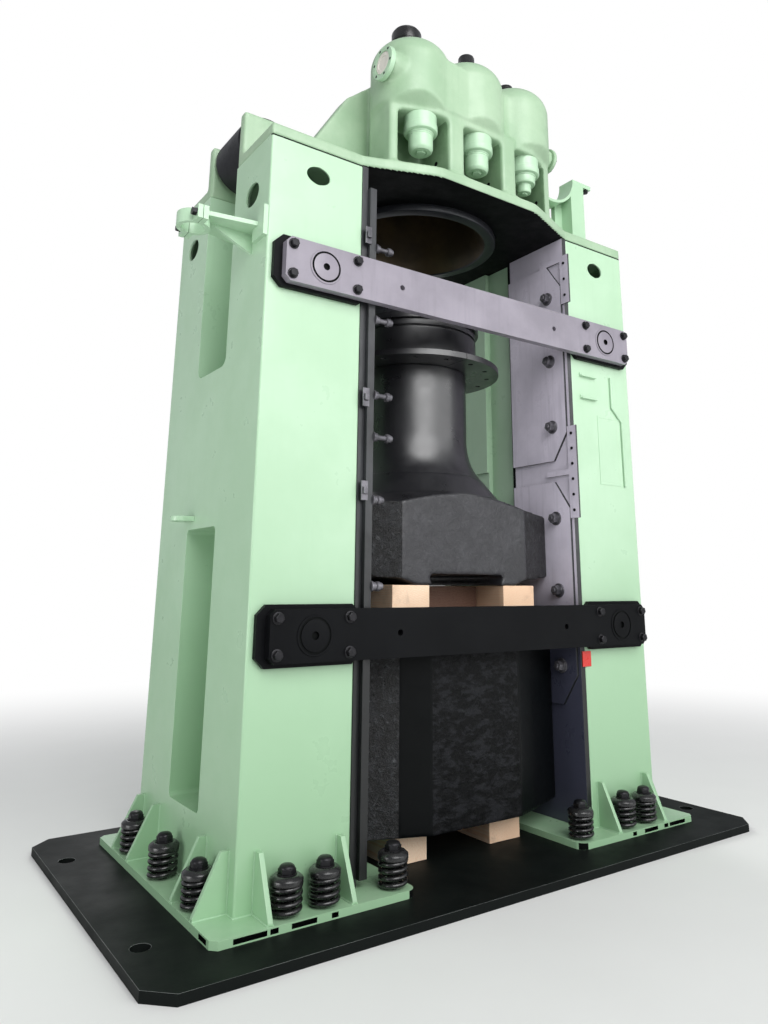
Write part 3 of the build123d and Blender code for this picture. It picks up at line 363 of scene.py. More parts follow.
def carry(piece: Piece, body: str, finish: "Finish", *stands_for: str) -> Piece:
    """Give a finished piece its paint and the body that carries it.

    Args:
        piece: The piece.
        body: The CAD body that it moves with.
        finish: Its finish, which also names the record's slot.
        stands_for: CAD nodes that it replaces.

    Returns:
        The same piece.
    """
    deselect()
    piece.data.materials.clear()
    piece.data.materials.append(finish.build())
    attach(piece, body)
    if stands_for:
        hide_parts(*stands_for)
    LOG.info("%s: %d faces on %s", piece.name, len(piece.data.polygons), body)
    return piece


def repaint(finish: "Finish", *nodes: str) -> None:
    """Give CAD nodes that keep their shape a better material."""
    for node in nodes:
        for slot in bpy.data.objects[node].material_slots:
            slot.material = finish.build()
        LOG.info("%s: CAD shape with %s", node, finish.name)


def eased(node: str, body: str, finish: "Finish", edge: float, segments: int = 2) -> Piece:
    """Replace a CAD node by its own shape with its sharp edges rounded.

    Args:
        node: The CAD node.
        body: The body that carries it.
        finish: The piece's finish.
        edge: Radius of the rounded edges.
        segments: Steps across each edge.

    Returns:
        The new piece.
    """
    piece = node_copy(node, node + ".dressed")
    soften(piece, edge, segments)
    return carry(piece, body, finish, node)


def bead(name: str, start: Point, end: Point, radius: float) -> Piece:
    """Lay a rippled weld bead along a straight seam.

    Args:
        name: The piece's name.
        start: Where the seam starts.
        end: Where it ends.
        radius: Radius of the bead.

    Returns:
        The bead, one ripple every 1.7 radii.
    """
    way = Vector(end) - Vector(start)
    step, waist, crest = radius * 1.7, 0.72, 0.45
    deselect()
    bpy.ops.mesh.primitive_circle_add(vertices=8, radius=radius * waist, location=(0, 0, 0))
    piece = settle(named(name))
    edit(piece)
    for grow, before, height in ((1 / waist, 0.0, crest), (waist, crest, 1.0)):
        bpy.ops.mesh.extrude_region_move(
            TRANSFORM_OT_translate={"value": (0, 0, (height - before) * step)})
        bpy.ops.transform.resize(value=(grow, grow, 1), center_override=(0, 0, height * step))
    close()
    modify(piece, "ARRAY", count=max(round(way.length / step), 1), use_relative_offset=False,
           use_constant_offset=True, constant_offset_displace=(0, 0, step),
           use_merge_vertices=True, merge_threshold=radius * 0.05)
    outwards(piece, fill=True)
    piece.rotation_euler = way.to_track_quat("Z", "Y").to_euler()
    piece.location = start
    settle(piece)
    smooth(piece, radians(60))
    return piece


def cut_off(piece: Piece, place: Point, normal: Point) -> None:
    """Cut away what lies beyond a plane, on the side its normal points to, and fill the cut."""
    edit(piece)
    bpy.ops.mesh.bisect(plane_co=place, plane_no=normal, use_fill=True, clear_outer=True)
    close()


def painted_if(piece: Piece, finish: "Finish", chosen: Callable[[Vector, Vector], bool]) -> None:
    """Give the faces that a test picks by middle and normal a second finish."""
    piece.data.materials.append(finish.build())
    index = len(piece.data.materials) - 1
    for face in piece.data.polygons:
        if chosen(face.center, face.normal):
            face.material_index = index


def painted_where(piece: Piece, finish: "Finish", low: Point, high: Point) -> None:
    """Give the faces whose middle lies in a box a second finish."""
    painted_if(piece, finish, lambda middle, way: all(
        a < c < b for a, c, b in zip(low, middle, high)))


def sliced(piece: Piece, place: Point, normal: Point) -> None:
    """Score a piece along a plane, so that the faces on each side can differ."""
    edit(piece)
    bpy.ops.mesh.bisect(plane_co=place, plane_no=normal)
    close()


# The finishes


@dataclass(frozen=True)
class Finish:
    """A painted, forged or machined surface with two tones, grain and wear.

    Attributes:
        name: The material's name.
        slot: The record's slot that it stands for; not used here.
        colour: Main tone.
        second: Tone of the broad patches.
        patch: Patches in a metre.
        mix: Share of the second tone.
        rough: Lowest and highest roughness.
        grain: Fine grains in a metre.
        depth: Height of the fine grain in metres.
        swell: Height of the broad unevenness in metres.
        metallic: How metallic the surface is.
        coat: Clear gloss on top.
        dust: Tone of the dust that lies on upward faces.
        dusty: How much of it lies there.
        mark_tone: Tone of the scratches and stains; on forging skin, the painted glints on the lump
            tops.
        marks: How strongly those marks show, from 0 to 1.
        drop: How much streaks run down, from 0 to 1.
        low_tone: Tone towards the floor, or nothing.
        low_tone_from: Height at which that tone starts.
        low_tone_to: Height at which it is full.
        shine: Strength of the plain reflection.
    """

    name: str
    slot: str
    colour: Colour
    second: Colour
    patch: float = 2.0
    mix: float = 0.5
    rough: tuple[float, float] = (0.35, 0.5)
    grain: float = 220.0
    depth: float = 0.0004
    swell: float = 0.0006
    metallic: float = 0.0
    coat: float = 0.0
    dust: Colour = (196, 194, 184)
    dusty: float = 0.12
    mark_tone: Colour = (150, 150, 150)
    marks: float = 0.0
    drop: float = 0.15
    # low_tone: Tone towards the floor, or nothing; on the green enamel it is painted shade.
    # low_tone_from: Height at which that tone starts. low_tone_to: Height at which it is full.
    low_tone: Colour | None = None
    low_tone_from: float = 2.4
    low_tone_to: float = 0.1
    shine: float = 0.5

    def build(self) -> bpy.types.Material:
        """Make the material once, and return the same one after that."""
        made = bpy.data.materials.get(self.name)
        return made if made is not None else self.mixed(Recipe(self.name))

    def mixed(self, recipe: "Recipe") -> bpy.types.Material:
        """Lay the tones, the dust, the marks, the tone towards the floor and the grain on a new
        material.
        """
        tone = recipe.noise(self.patch, 5, 0.6)
        base = recipe.mix(recipe.ramp(tone, 0.35, 0.68), self.colour, self.second, self.mix)
        streak = recipe.noise(3.0, 3, 0.5, stretch=(9.0, 9.0, 0.5))
        base = recipe.mix(recipe.ramp(streak, 0.5, 0.8), base, self.second, self.drop)
        if self.marks > 0:
            line = recipe.noise(7.0, 6, 0.75, stretch=(1.0, 9.0, 22.0))
            base = recipe.mix(recipe.ramp(line, 0.72, 0.78), base, self.mark_tone, self.marks)
        # Darker towards the floor by height; on the green enamel this is painted shade.
        if self.low_tone is not None:
            low = recipe.span(recipe.height(), 1.0, 0.0, self.low_tone_to, self.low_tone_from)
            base = recipe.mix(low, base, self.low_tone)
        upward = recipe.upward(recipe.noise(6.0, 4, 0.6))
        base = recipe.mix(upward, base, self.dust, self.dusty)
        recipe.link(base, "Base Color")
        recipe.set("Specular IOR Level", self.shine)
        spread = recipe.noise(self.patch * 4, 4, 0.6)
        recipe.link(recipe.span(spread, *self.rough), "Roughness")
        fine = recipe.noise(self.grain, 3, 0.6)
        broad = recipe.noise(self.patch * 2.5, 2, 0.5)
        recipe.bump([(fine, self.depth), (broad, self.swell)])
        recipe.set("Metallic", self.metallic)
        if self.coat > 0:
            recipe.set("Coat Weight", self.coat)
            recipe.set("Coat Roughness", 0.18)
        return recipe.material


class Recipe:
    """A material under construction, read in Object coordinates."""

    def __init__(self, name: str) -> None:
        """Start a material with one shader and the object's coordinates."""
        self.material = bpy.data.materials.new(name)
        self.material.use_nodes = True
        self.tree = self.material.node_tree
        self.shader = self.tree.nodes["Principled BSDF"]
        self.place = self.add("ShaderNodeTexCoord").outputs["Object"]

    def add(self, kind: str) -> bpy.types.Node:
        """Add one node."""
        return self.tree.nodes.new(kind)

    def set(self, socket: str, value: object) -> None:
        """Set a constant on the shader's own socket."""
        self.shader.inputs[socket].default_value = value

    def link(self, source: Socket, socket: str) -> None:
        """Lead a node's output into one of the shader's sockets."""
        self.tree.links.new(source, self.shader.inputs[socket])

    def mapped(self, stretch: Point) -> Socket:
        """Stretch the coordinates of a pattern."""
        mapping = self.add("ShaderNodeMapping")
        mapping.inputs["Scale"].default_value = stretch
        self.tree.links.new(self.place, mapping.inputs["Vector"])
        return mapping.outputs["Vector"]

    def noise(self, scale: float, detail: float, rough: float, stretch: Point | None = None,
              warp: float = 0.0) -> Socket:
        """Add a noise pattern.

        Args:
            scale: Patterns in a metre.
            detail: Octaves.
            rough: How strong the finer octaves are.
            stretch: Scale of each axis before the pattern.
            warp: How far the pattern is bent.

        Returns:
            The noise's value.
        """
        node = self.add("ShaderNodeTexNoise")
        node.inputs["Scale"].default_value = scale
        node.inputs["Detail"].default_value = detail
        node.inputs["Roughness"].default_value = rough
        node.inputs["Distortion"].default_value = warp
        where = self.place if stretch is None else self.mapped(stretch)
        self.tree.links.new(where, node.inputs["Vector"])
        return node.outputs["Fac"]

    def ramp(self, value: Socket, low: float, high: float) -> Socket:
        """Spread a value between two limits over 0 to 1, softly."""
        return self.span(value, 0.0, 1.0, low, high)

    def span(self, value: Socket, to_low: float, to_high: float,
             low: float = 0.25, high: float = 0.75) -> Socket:
        """Map one range of a value to another, without going beyond it."""
        node = self.add("ShaderNodeMapRange")
        node.interpolation_type = "SMOOTHSTEP"
        for name, number in (("From Min", low), ("From Max", high),
                             ("To Min", to_low), ("To Max", to_high)):
            node.inputs[name].default_value = number
        self.tree.links.new(value, node.inputs["Value"])
        return node.outputs["Result"]

    def times(self, value: Socket, other: object) -> Socket:
        """Multiply a value by another value or by a number."""
        node = self.add("ShaderNodeMath")
        node.operation = "MULTIPLY"
        self.tree.links.new(value, node.inputs[0])
        self.feed(other, node.inputs[1])
        return node.outputs[0]

    def feed(self, value: object, socket: Socket) -> None:
        """Give a socket a colour, a number or another node's output."""
        if isinstance(value, Socket):
            self.tree.links.new(value, socket)
        elif isinstance(value, tuple):
            socket.default_value = linear(value)
        else:
            socket.default_value = value

    def mix(self, share: Socket, first: object, second: object,
            strength: float = 1.0) -> Socket:
        """Mix two colours by a value.

        Args:
            share: Where the second colour shows.
            first: A colour or a node's output.
            second: A colour or a node's output.
            strength: Most that the second colour may show.

        Returns:
            The mixed colour.
        """
        node = self.add("ShaderNodeMix")
        node.data_type = "RGBA"
        self.tree.links.new(self.times(share, strength), node.inputs["Factor"])
        self.feed(first, node.inputs[6])
        self.feed(second, node.inputs[7])
        return node.outputs[2]

    def upward(self, broken: Socket) -> Socket:
        """Where a face looks up, broken by a pattern."""
        split = self.add("ShaderNodeSeparateXYZ")
        self.tree.links.new(self.add("ShaderNodeNewGeometry").outputs["Normal"], split.inputs[0])
        return self.times(self.ramp(split.outputs["Z"], 0.5, 0.95), self.ramp(broken, 0.3, 0.75))

    def height(self) -> Socket:
        """The height above the floor in metres."""
        split = self.add("ShaderNodeSeparateXYZ")
        self.tree.links.new(self.place, split.inputs[0])
        return split.outputs["Z"]

    def bump(self, layers: list[tuple[Socket, float]]) -> None:
        """Raise the surface by several patterns, each with its own height."""
        normal = None
        for value, depth in layers:
            node = self.add("ShaderNodeBump")
            node.inputs["Strength"].default_value = 1.0
            node.inputs["Distance"].default_value = depth
            self.tree.links.new(value, node.inputs["Height"])
            if normal is not None:
                self.tree.links.new(normal, node.inputs["Normal"])
            normal = node.outputs["Normal"]
        self.link(normal, "Normal")


@dataclass(frozen=True)
class ForgedSkin(Finish):
    """Black paint over the coarse skin that the forging press leaves."""

    lump: float = 16.0
    lump_depth: float = 0.006
    stretch: Point = (1.0, 1.0, 1.0)

    def mixed(self, recipe: Recipe) -> bpy.types.Material:
        """Lay scale pits and lumps under the black paint, with painted glints on the lump tops."""
        tone = recipe.noise(self.patch, 6, 0.7, stretch=self.stretch)
        base = recipe.mix(recipe.ramp(tone, 0.46, 0.6), self.colour, self.second, self.mix)
        lump = recipe.noise(self.lump, 5, 0.7, warp=0.6)
        pit = recipe.noise(self.lump * 3.5, 4, 0.7)
        # A lighter tone on the lump tops: painted glints.
        base = recipe.mix(recipe.ramp(lump, 0.52, 0.72), base, self.mark_tone, self.marks)
        upward = recipe.upward(recipe.noise(9.0, 4, 0.6))
        base = recipe.mix(upward, base, self.dust, self.dusty)
        recipe.link(base, "Base Color")
        recipe.set("Specular IOR Level", self.shine)
        recipe.link(recipe.span(pit, *self.rough), "Roughness")
        fine = recipe.noise(self.grain, 2, 0.6)
        recipe.bump([(lump, self.lump_depth), (pit, self.lump_depth * 0.45), (fine, self.depth)])
        return recipe.material


@dataclass(frozen=True)
class Turned(Finish):
    """Metal with the fine rings of the lathe or planer."""

    lines: float = 900.0
    line_depth: float = 0.00006

    def mixed(self, recipe: Recipe) -> bpy.types.Material:
        """Lay tool lines and oil stains on the metal."""
        tone = recipe.noise(self.patch, 5, 0.6)
        base = recipe.mix(recipe.ramp(tone, 0.3, 0.7), self.colour, self.second, self.mix)
        stain = recipe.noise(14.0, 5, 0.7, warp=0.8)
        base = recipe.mix(recipe.ramp(stain, 0.6, 0.75), base, self.mark_tone, self.marks)
        recipe.link(base, "Base Color")
        recipe.link(recipe.span(stain, *self.rough), "Roughness")
        line = recipe.noise(self.lines, 2, 0.5, stretch=(0.02, 0.02, 1.0))
        fine = recipe.noise(self.grain, 3, 0.6)
        recipe.bump([(line, self.line_depth), (fine, self.depth)])
        recipe.set("Metallic", self.metallic)
        return recipe.material


@dataclass(frozen=True)
class SawnWood(Finish):
    """Sawn softwood with its grain along Y, rings on the ends and saw marks across."""

    rings: float = 34.0
    bright: Colour = (247, 214, 176)
    grime: Colour = (92, 66, 50)

    def mixed(self, recipe: Recipe) -> bpy.types.Material:
        """Lay growth rings, fibres, saw marks and dirt on the timber."""
        wander = recipe.noise(1.6, 3, 0.5, stretch=(1.0, 0.25, 1.0))
        wave = recipe.add("ShaderNodeTexWave")
        wave.wave_type = "RINGS"
        wave.rings_direction = "Y"
        wave.inputs["Scale"].default_value = self.rings
        wave.inputs["Distortion"].default_value = 5.0
        wave.inputs["Detail"].default_value = 3.0
        wave.inputs["Detail Scale"].default_value = 1.2
        recipe.tree.links.new(recipe.mapped((1.0, 0.08, 1.0)), wave.inputs["Vector"])
        fibre = recipe.noise(160.0, 4, 0.6, stretch=(1.0, 0.03, 1.0))
        base = recipe.mix(wave.outputs["Fac"], self.colour, self.bright, 0.75)
        base = recipe.mix(recipe.ramp(wander, 0.3, 0.7), base, self.second, 0.5)
        base = recipe.mix(recipe.ramp(fibre, 0.5, 0.75), base, self.second, 0.45)
        dirt = recipe.noise(5.0, 5, 0.65, warp=0.5)
        base = recipe.mix(recipe.ramp(dirt, 0.58, 0.78), base, self.grime, self.dusty)
        recipe.link(base, "Base Color")
        recipe.link(recipe.span(fibre, *self.rough), "Roughness")
        saw = recipe.noise(220.0, 2, 0.5, stretch=(0.02, 1.0, 0.02))
        recipe.bump([(fibre, self.depth), (saw, self.depth), (wander, self.swell)])
        return recipe.material


# The green enamel darkens towards the floor: painted shade, as if the light fell from above.
GREEN = Finish("green_enamel", "green_paint", (180, 212, 181), (168, 202, 168), patch=1.3, mix=0.7,
               rough=(0.26, 0.42), grain=170.0, depth=0.00022, swell=0.0011, coat=0.25,
               dust=(200, 212, 194), dusty=0.2, drop=0.22, low_tone=(150, 188, 150))
CAST_GREEN = Finish("green_enamel_on_casting", "green_paint", (165, 191, 161), (142, 174, 140),
                    patch=2.2, mix=0.75, rough=(0.34, 0.52), grain=90.0, depth=0.0009, swell=0.003,
                    coat=0.1, dust=(150, 170, 146), dusty=0.3, drop=0.35)
PLATE_BLACK = Finish("black_plate_enamel", "black_plate_paint", (11, 15, 14), (18, 23, 21),
                     patch=1.1, rough=(0.5, 0.62), grain=60.0, depth=0.0003, dust=(50, 54, 50),
                     dusty=0.1, mark_tone=(44, 48, 46), marks=0.15, drop=0.0, shine=0.1)
BAR_BLACK = Finish("black_satin_paint", "black_paint", (12, 13, 15), (20, 21, 23), patch=2.5,
                   rough=(0.34, 0.5), grain=150.0, depth=0.0002, dust=(60, 60, 60), dusty=0.08,
                   mark_tone=(48, 48, 52), marks=0.15, shine=0.08)
# Near-black that paints shade: in slots, grooves, gaps, small holes and under the crown.
PAINTED_SHADE_BLACK = Finish("painted_shade_black", "black_paint", (4, 6, 6), (9, 11, 11), rough=(0.45, 0.65),
                   grain=80.0, depth=0.0007, swell=0.002, dusty=0.0, shine=0.1)
PRIMER = Finish("violet_grey_primer", "violet_grey_paint", (146, 140, 151), (120, 115, 125),
                patch=1.6, mix=0.75, rough=(0.28, 0.44), grain=120.0, depth=0.0003, coat=0.2,
                dust=(196, 192, 198), dusty=0.2, mark_tone=(176, 170, 180), marks=0.35, drop=0.4)
# A lit copy of the violet-grey primer: its colour is raised as painted light; it turns darker below
# 1.6 m.
LIT_GUIDE_PRIMER = Finish("lit_violet_grey_guide_primer", "violet_grey_paint", (232, 225, 240),
                      (196, 190, 204), patch=1.4, mix=0.8, rough=(0.24, 0.42), grain=120.0,
                      depth=0.0003, swell=0.0012, coat=0.3, dust=(206, 202, 208), dusty=0.2,
                      mark_tone=(236, 230, 242), marks=0.5, drop=0.6, low_tone=(66, 68, 84),
                      low_tone_from=1.62, low_tone_to=1.25)
# A shaded copy of the violet-grey primer, darker still below 2.2 m: painted shade, with scratches
# and dust.
SHADED_GUIDE_PRIMER = Finish("shaded_violet_grey_guide_primer", "violet_grey_paint", (50, 52, 55), (30, 32, 34),
                      patch=3.0, mix=0.8, rough=(0.28, 0.5), grain=120.0, swell=0.001, coat=0.15,
                      dust=(96, 98, 98), dusty=0.15, mark_tone=(110, 112, 112), marks=0.5, drop=0.5,
                      low_tone=(17, 19, 20), low_tone_from=2.2, low_tone_to=1.2)
LINER = Turned("oiled_cylinder_iron", "liner_iron", (84, 70, 48), (48, 42, 32), patch=3.0, mix=0.8,
               rough=(0.3, 0.5), metallic=0.5, mark_tone=(70, 58, 42), marks=0.5, depth=0.0003)
RIM = Turned("dark_rim_iron", "liner_iron", (40, 42, 46), (30, 32, 36), patch=1.6, mix=0.4,
             rough=(0.3, 0.38), metallic=0.3, mark_tone=(24, 24, 26), marks=0.2, depth=0.0001)
RAM_BLACK = Finish("black_ram_paint", "ram_black", (22, 22, 25), (30, 30, 34), patch=1.6,
                   rough=(0.26, 0.37), grain=110.0, depth=0.0001, swell=0.0002,
                   dust=(110, 108, 110), dusty=0.1, shine=1.1)
HEAD_SKIN = ForgedSkin("black_forging_skin", "ram_black", (36, 36, 40), (52, 52, 56), patch=5.0,
                       rough=(0.3, 0.55), grain=120.0, depth=0.0006, lump=14.0, dust=(96, 94, 96),
                       mark_tone=(70, 70, 74), marks=0.4, shine=0.6)
BUBBLED = ForgedSkin("bubbled_forging_skin", "ram_black", (9, 9, 10), (30, 31, 34), patch=18.0,
                     mix=0.9, rough=(0.2, 0.5), grain=160.0, depth=0.0008, lump=34.0,
                     lump_depth=0.016, dust=(70, 70, 72), dusty=0.1, mark_tone=(92, 94, 98), marks=0.5)
ANVIL_SKIN = ForgedSkin("black_anvil_skin", "ram_black", (2, 3, 4), (27, 28, 31), patch=20.0,
                        mix=1.0, rough=(0.3, 0.6), grain=160.0, depth=0.0008, lump=30.0,
                        lump_depth=0.008, dust=(60, 60, 62), dusty=0.1, mark_tone=(40, 41, 44),
                        marks=0.4, shine=0.15, stretch=(0.6, 1.0, 1.3))
SMOOTH_BLACK = Finish("smooth_black_facet", "ram_black", (4, 6, 7), (9, 11, 12), rough=(0.32, 0.44),
                      grain=120.0, depth=0.0003, swell=0.0004, dusty=0.0, shine=0.12)
# A painted highlight for the rounded edges of the black base plate.
PAINTED_EDGE_HIGHLIGHT = Finish("painted_highlight_plate_edge", "black_plate_paint", (120, 124, 122), (60, 64, 62),
                   patch=3.0, mix=0.8, rough=(0.25, 0.4), grain=120.0, depth=0.0002, dusty=0.0)
WORN_STEEL = Finish("worn_steel", "dark_steel", (118, 116, 122), (66, 66, 70), patch=14.0, mix=0.8,
                    rough=(0.26, 0.44), grain=260.0, depth=0.0003, metallic=0.5,
                    dust=(150, 146, 146), dusty=0.15, mark_tone=(170, 168, 170), marks=0.4)
RING_IRON = Turned("piston_ring_iron", "ring_iron", (104, 104, 110), (78, 78, 84), patch=6.0,
                   rough=(0.25, 0.4), metallic=0.9, mark_tone=(50, 48, 46), marks=0.4)
ROLLER_IRON = Turned("dark_turned_iron", "roller_iron", (40, 40, 44), (56, 56, 60), patch=4.0,
                     rough=(0.3, 0.48), metallic=0.7, mark_tone=(24, 24, 26), marks=0.5)
BRIGHT = Turned("turned_steel", "machined_steel", (172, 172, 174), (150, 150, 152), patch=5.0,
                rough=(0.2, 0.36), metallic=1.0, mark_tone=(96, 88, 78), marks=0.35)
DARK_STEEL = Finish("blackened_steel", "dark_steel", (30, 30, 33), (46, 45, 48), patch=12.0,
                    rough=(0.26, 0.46), grain=260.0, depth=0.0003, metallic=0.6,
                    dust=(110, 106, 100), dusty=0.15, mark_tone=(120, 118, 120), marks=0.35)
SPRING_BLACK = Finish("black_spring_lacquer", "spring_steel", (14, 14, 15), (24, 24, 25),
                      patch=14.0, rough=(0.18, 0.34), grain=240.0, depth=0.00025, coat=0.4,
                      dust=(90, 90, 88), dusty=0.2, mark_tone=(70, 70, 70), marks=0.15)
CAP_BLACK = Finish("black_cap_lacquer", "cap_steel", (16, 16, 17), (26, 26, 27), patch=10.0,
                   rough=(0.2, 0.36), grain=240.0, depth=0.0003, coat=0.35, dust=(96, 96, 94),
                   dusty=0.25, mark_tone=(80, 80, 82), marks=0.25)
RUBBER = Finish("black_packing_rubber", "packing_rubber", (24, 24, 24), (34, 34, 34), patch=20.0,
                rough=(0.6, 0.8), grain=300.0, depth=0.0005)
WOOD = SawnWood("sawn_softwood", "sawn_wood", (250, 216, 182), (220, 168, 126), rough=(0.55, 0.8),
                bright=(255, 238, 216), depth=0.0009, swell=0.002, dusty=0.35)
OLD_WOOD = SawnWood("grimy_softwood", "sawn_wood", (110, 78, 62), (74, 52, 42), rough=(0.6, 0.85),
                    bright=(138, 102, 82), depth=0.0009, swell=0.002, dusty=0.6)
TAG_RED = Finish("red_tag_enamel", "green_paint", (214, 52, 40), (196, 40, 32), patch=12.0,
                 rough=(0.25, 0.4), grain=240.0, depth=0.0002, coat=0.4, dusty=0.15)
PALE = Finish("pale_tag_enamel", "green_paint", (226, 222, 212), (204, 200, 190), patch=20.0,
              grain=240.0, depth=0.0002, dusty=0.1)
# Darker green inside the valve bays: oil, and painted shade in the recesses.
SHADED_OILY_BAY_GREEN = Finish("shaded_oily_green_in_bays", "green_paint", (128, 156, 124), (104, 132, 102), patch=5.0,
                   mix=0.8, rough=(0.3, 0.5), grain=90.0, depth=0.0009, swell=0.002, coat=0.1,
                   dust=(112, 134, 108), dusty=0.4, drop=0.4)
WELD = Finish("green_painted_weld", "green_paint", (160, 197, 161), (146, 184, 148), patch=20.0,
              mix=0.7, rough=(0.28, 0.42), grain=300.0, swell=0.0008, coat=0.25, drop=0.0)
COPPER = Finish("reddish_rod_paint", "dark_steel", (150, 74, 54), (112, 56, 44), patch=30.0,
                rough=(0.3, 0.5), grain=260.0, depth=0.0003, metallic=0.5)


# The room and the camera


@dataclass
class Studio:
    """A pale floor, a white background, soft lamps and the photograph's camera."""

    floor_size: float = 60.0
    floor: Colour = (222, 222, 220)
    mottle: Colour = (229, 229, 227)
    fade_from: float = 3.2
    fade_to: float = 9.5
    sky: tuple[float, float, float, float] = (0.93, 0.96, 1.0, 1.0)
    sky_strength: float = 0.42
    camera_place: Point = (-3.17579, -4.41295, 1.54064)
    camera_turn: Point = (1.80915, -0.00328, -0.62234)
    lens: float = 27.3506
    sensor: float = 36.0
    sight: float = 200.0
    shift: tuple[float, float] = (-0.02586, -0.11)
    lamps: tuple[tuple[str, Point, Point, float, float], ...] = (
        ("key", (-1.6, -9.6, 8.0), (0.2, 0.0, 2.6), 10.0, 1120.0),
        ("left", (-9.0, -1.0, 1.4), (-1.5, 0.0, 0.8), 4.0, 185.0),
        ("right", (5.6, -8.6, 4.2), (0.3, 0.0, 2.2), 8.0, 260.0),
        ("rear", (3.0, 10.0, 8.0), (0.0, 0.0, 2.5), 6.0, 420.0),
    )

    def build(self) -> None:
        """Lay the floor, light the room and place the camera."""
        self.lay_floor()
        self.light_world()
        for name, place, target, size, power in self.lamps:
            self.hang_lamp(name, place, target, size, power)
        self.place_camera()
        bpy.context.scene.view_settings.view_transform = "Standard"
        LOG.info("studio: floor, world and %d lamps", len(self.lamps))

    def lay_floor(self) -> None:
        """Lay a large pale floor with faint mottling."""
        deselect()
        bpy.ops.mesh.primitive_plane_add(size=self.floor_size, location=(0, 0, 0))
        plane = named("floor")
        recipe = Recipe("pale_floor")
        tone = recipe.mix(recipe.noise(0.8, 4, 0.6), self.floor, self.mottle)
        recipe.link(tone, "Base Color")
        recipe.link(recipe.span(recipe.noise(3.0, 3, 0.5), 0.75, 0.85), "Roughness")
        self.fade(recipe)
        plane.data.materials.append(recipe.material)

    def fade(self, recipe: Recipe) -> None:
        """Let the floor run out into the white background far from the object."""
        far = recipe.add("ShaderNodeVectorMath")
        far.operation = "LENGTH"
        recipe.tree.links.new(recipe.place, far.inputs[0])
        away = recipe.ramp(far.outputs["Value"], self.fade_from, self.fade_to)
        white = recipe.add("ShaderNodeEmission")
        path = recipe.add("ShaderNodeLightPath")
        seen = recipe.times(away, path.outputs["Is Camera Ray"])
        self.blend(recipe.tree, seen, recipe.shader, white, "Material Output")

    def blend(self, tree: bpy.types.NodeTree, share: Socket, first: bpy.types.Node,
              white: bpy.types.Node, end: str) -> None:
        """Mix a shader with a pure white one and lead the mixture to the output node.

        Args:
            tree: The node tree.
            share: Where the white shader shows.
            first: The shader that shows elsewhere.
            white: The second shader, which is made white here.
            end: Name of the output node.
        """
        white.inputs["Color"].default_value = (1, 1, 1, 1)
        mixer = tree.nodes.new("ShaderNodeMixShader")
        tree.links.new(share, mixer.inputs[0])
        tree.links.new(first.outputs[0], mixer.inputs[1])
        tree.links.new(white.outputs[0], mixer.inputs[2])
        tree.links.new(mixer.outputs[0], tree.nodes[end].inputs["Surface"])

    def light_world(self) -> None:
        """Make the surroundings light the object softly and look white."""
        world = bpy.data.worlds.new("studio")
        world.use_nodes = True
        bpy.context.scene.world = world
        tree = world.node_tree
        glow = tree.nodes["Background"]
        glow.inputs["Color"].default_value = self.sky
        glow.inputs["Strength"].default_value = self.sky_strength
        white = tree.nodes.new("ShaderNodeBackground")
        seen = tree.nodes.new("ShaderNodeLightPath").outputs["Is Camera Ray"]
        self.blend(tree, seen, glow, white, "World Output")

    def hang_lamp(self, name: str, place: Point, target: Point, size: float, power: float) -> None:
        """Hang one large soft lamp that looks at a point."""
        lamp = bpy.data.lights.new(name, "AREA")
        lamp.shape = "DISK"
        lamp.size = size
        lamp.energy = power
        holder = bpy.data.objects.new(name, lamp)
        bpy.context.scene.collection.objects.link(holder)
        holder.location = place
        holder.rotation_euler = (Vector(target) - Vector(place)).to_track_quat("-Z", "Y").to_euler()

    def place_camera(self) -> None:
        """Stand the camera low at the front left, looking up."""
        data = bpy.data.cameras.new("camera")
        camera = bpy.data.objects.new("camera", data)
        bpy.context.scene.collection.objects.link(camera)
        camera.location = self.camera_place
        camera.rotation_euler = self.camera_turn
        data.lens = self.lens
        data.sensor_width = self.sensor
        data.shift_x, data.shift_y = self.shift
        data.clip_end = self.sight
        bpy.context.scene.camera = camera


# The sub-assemblies


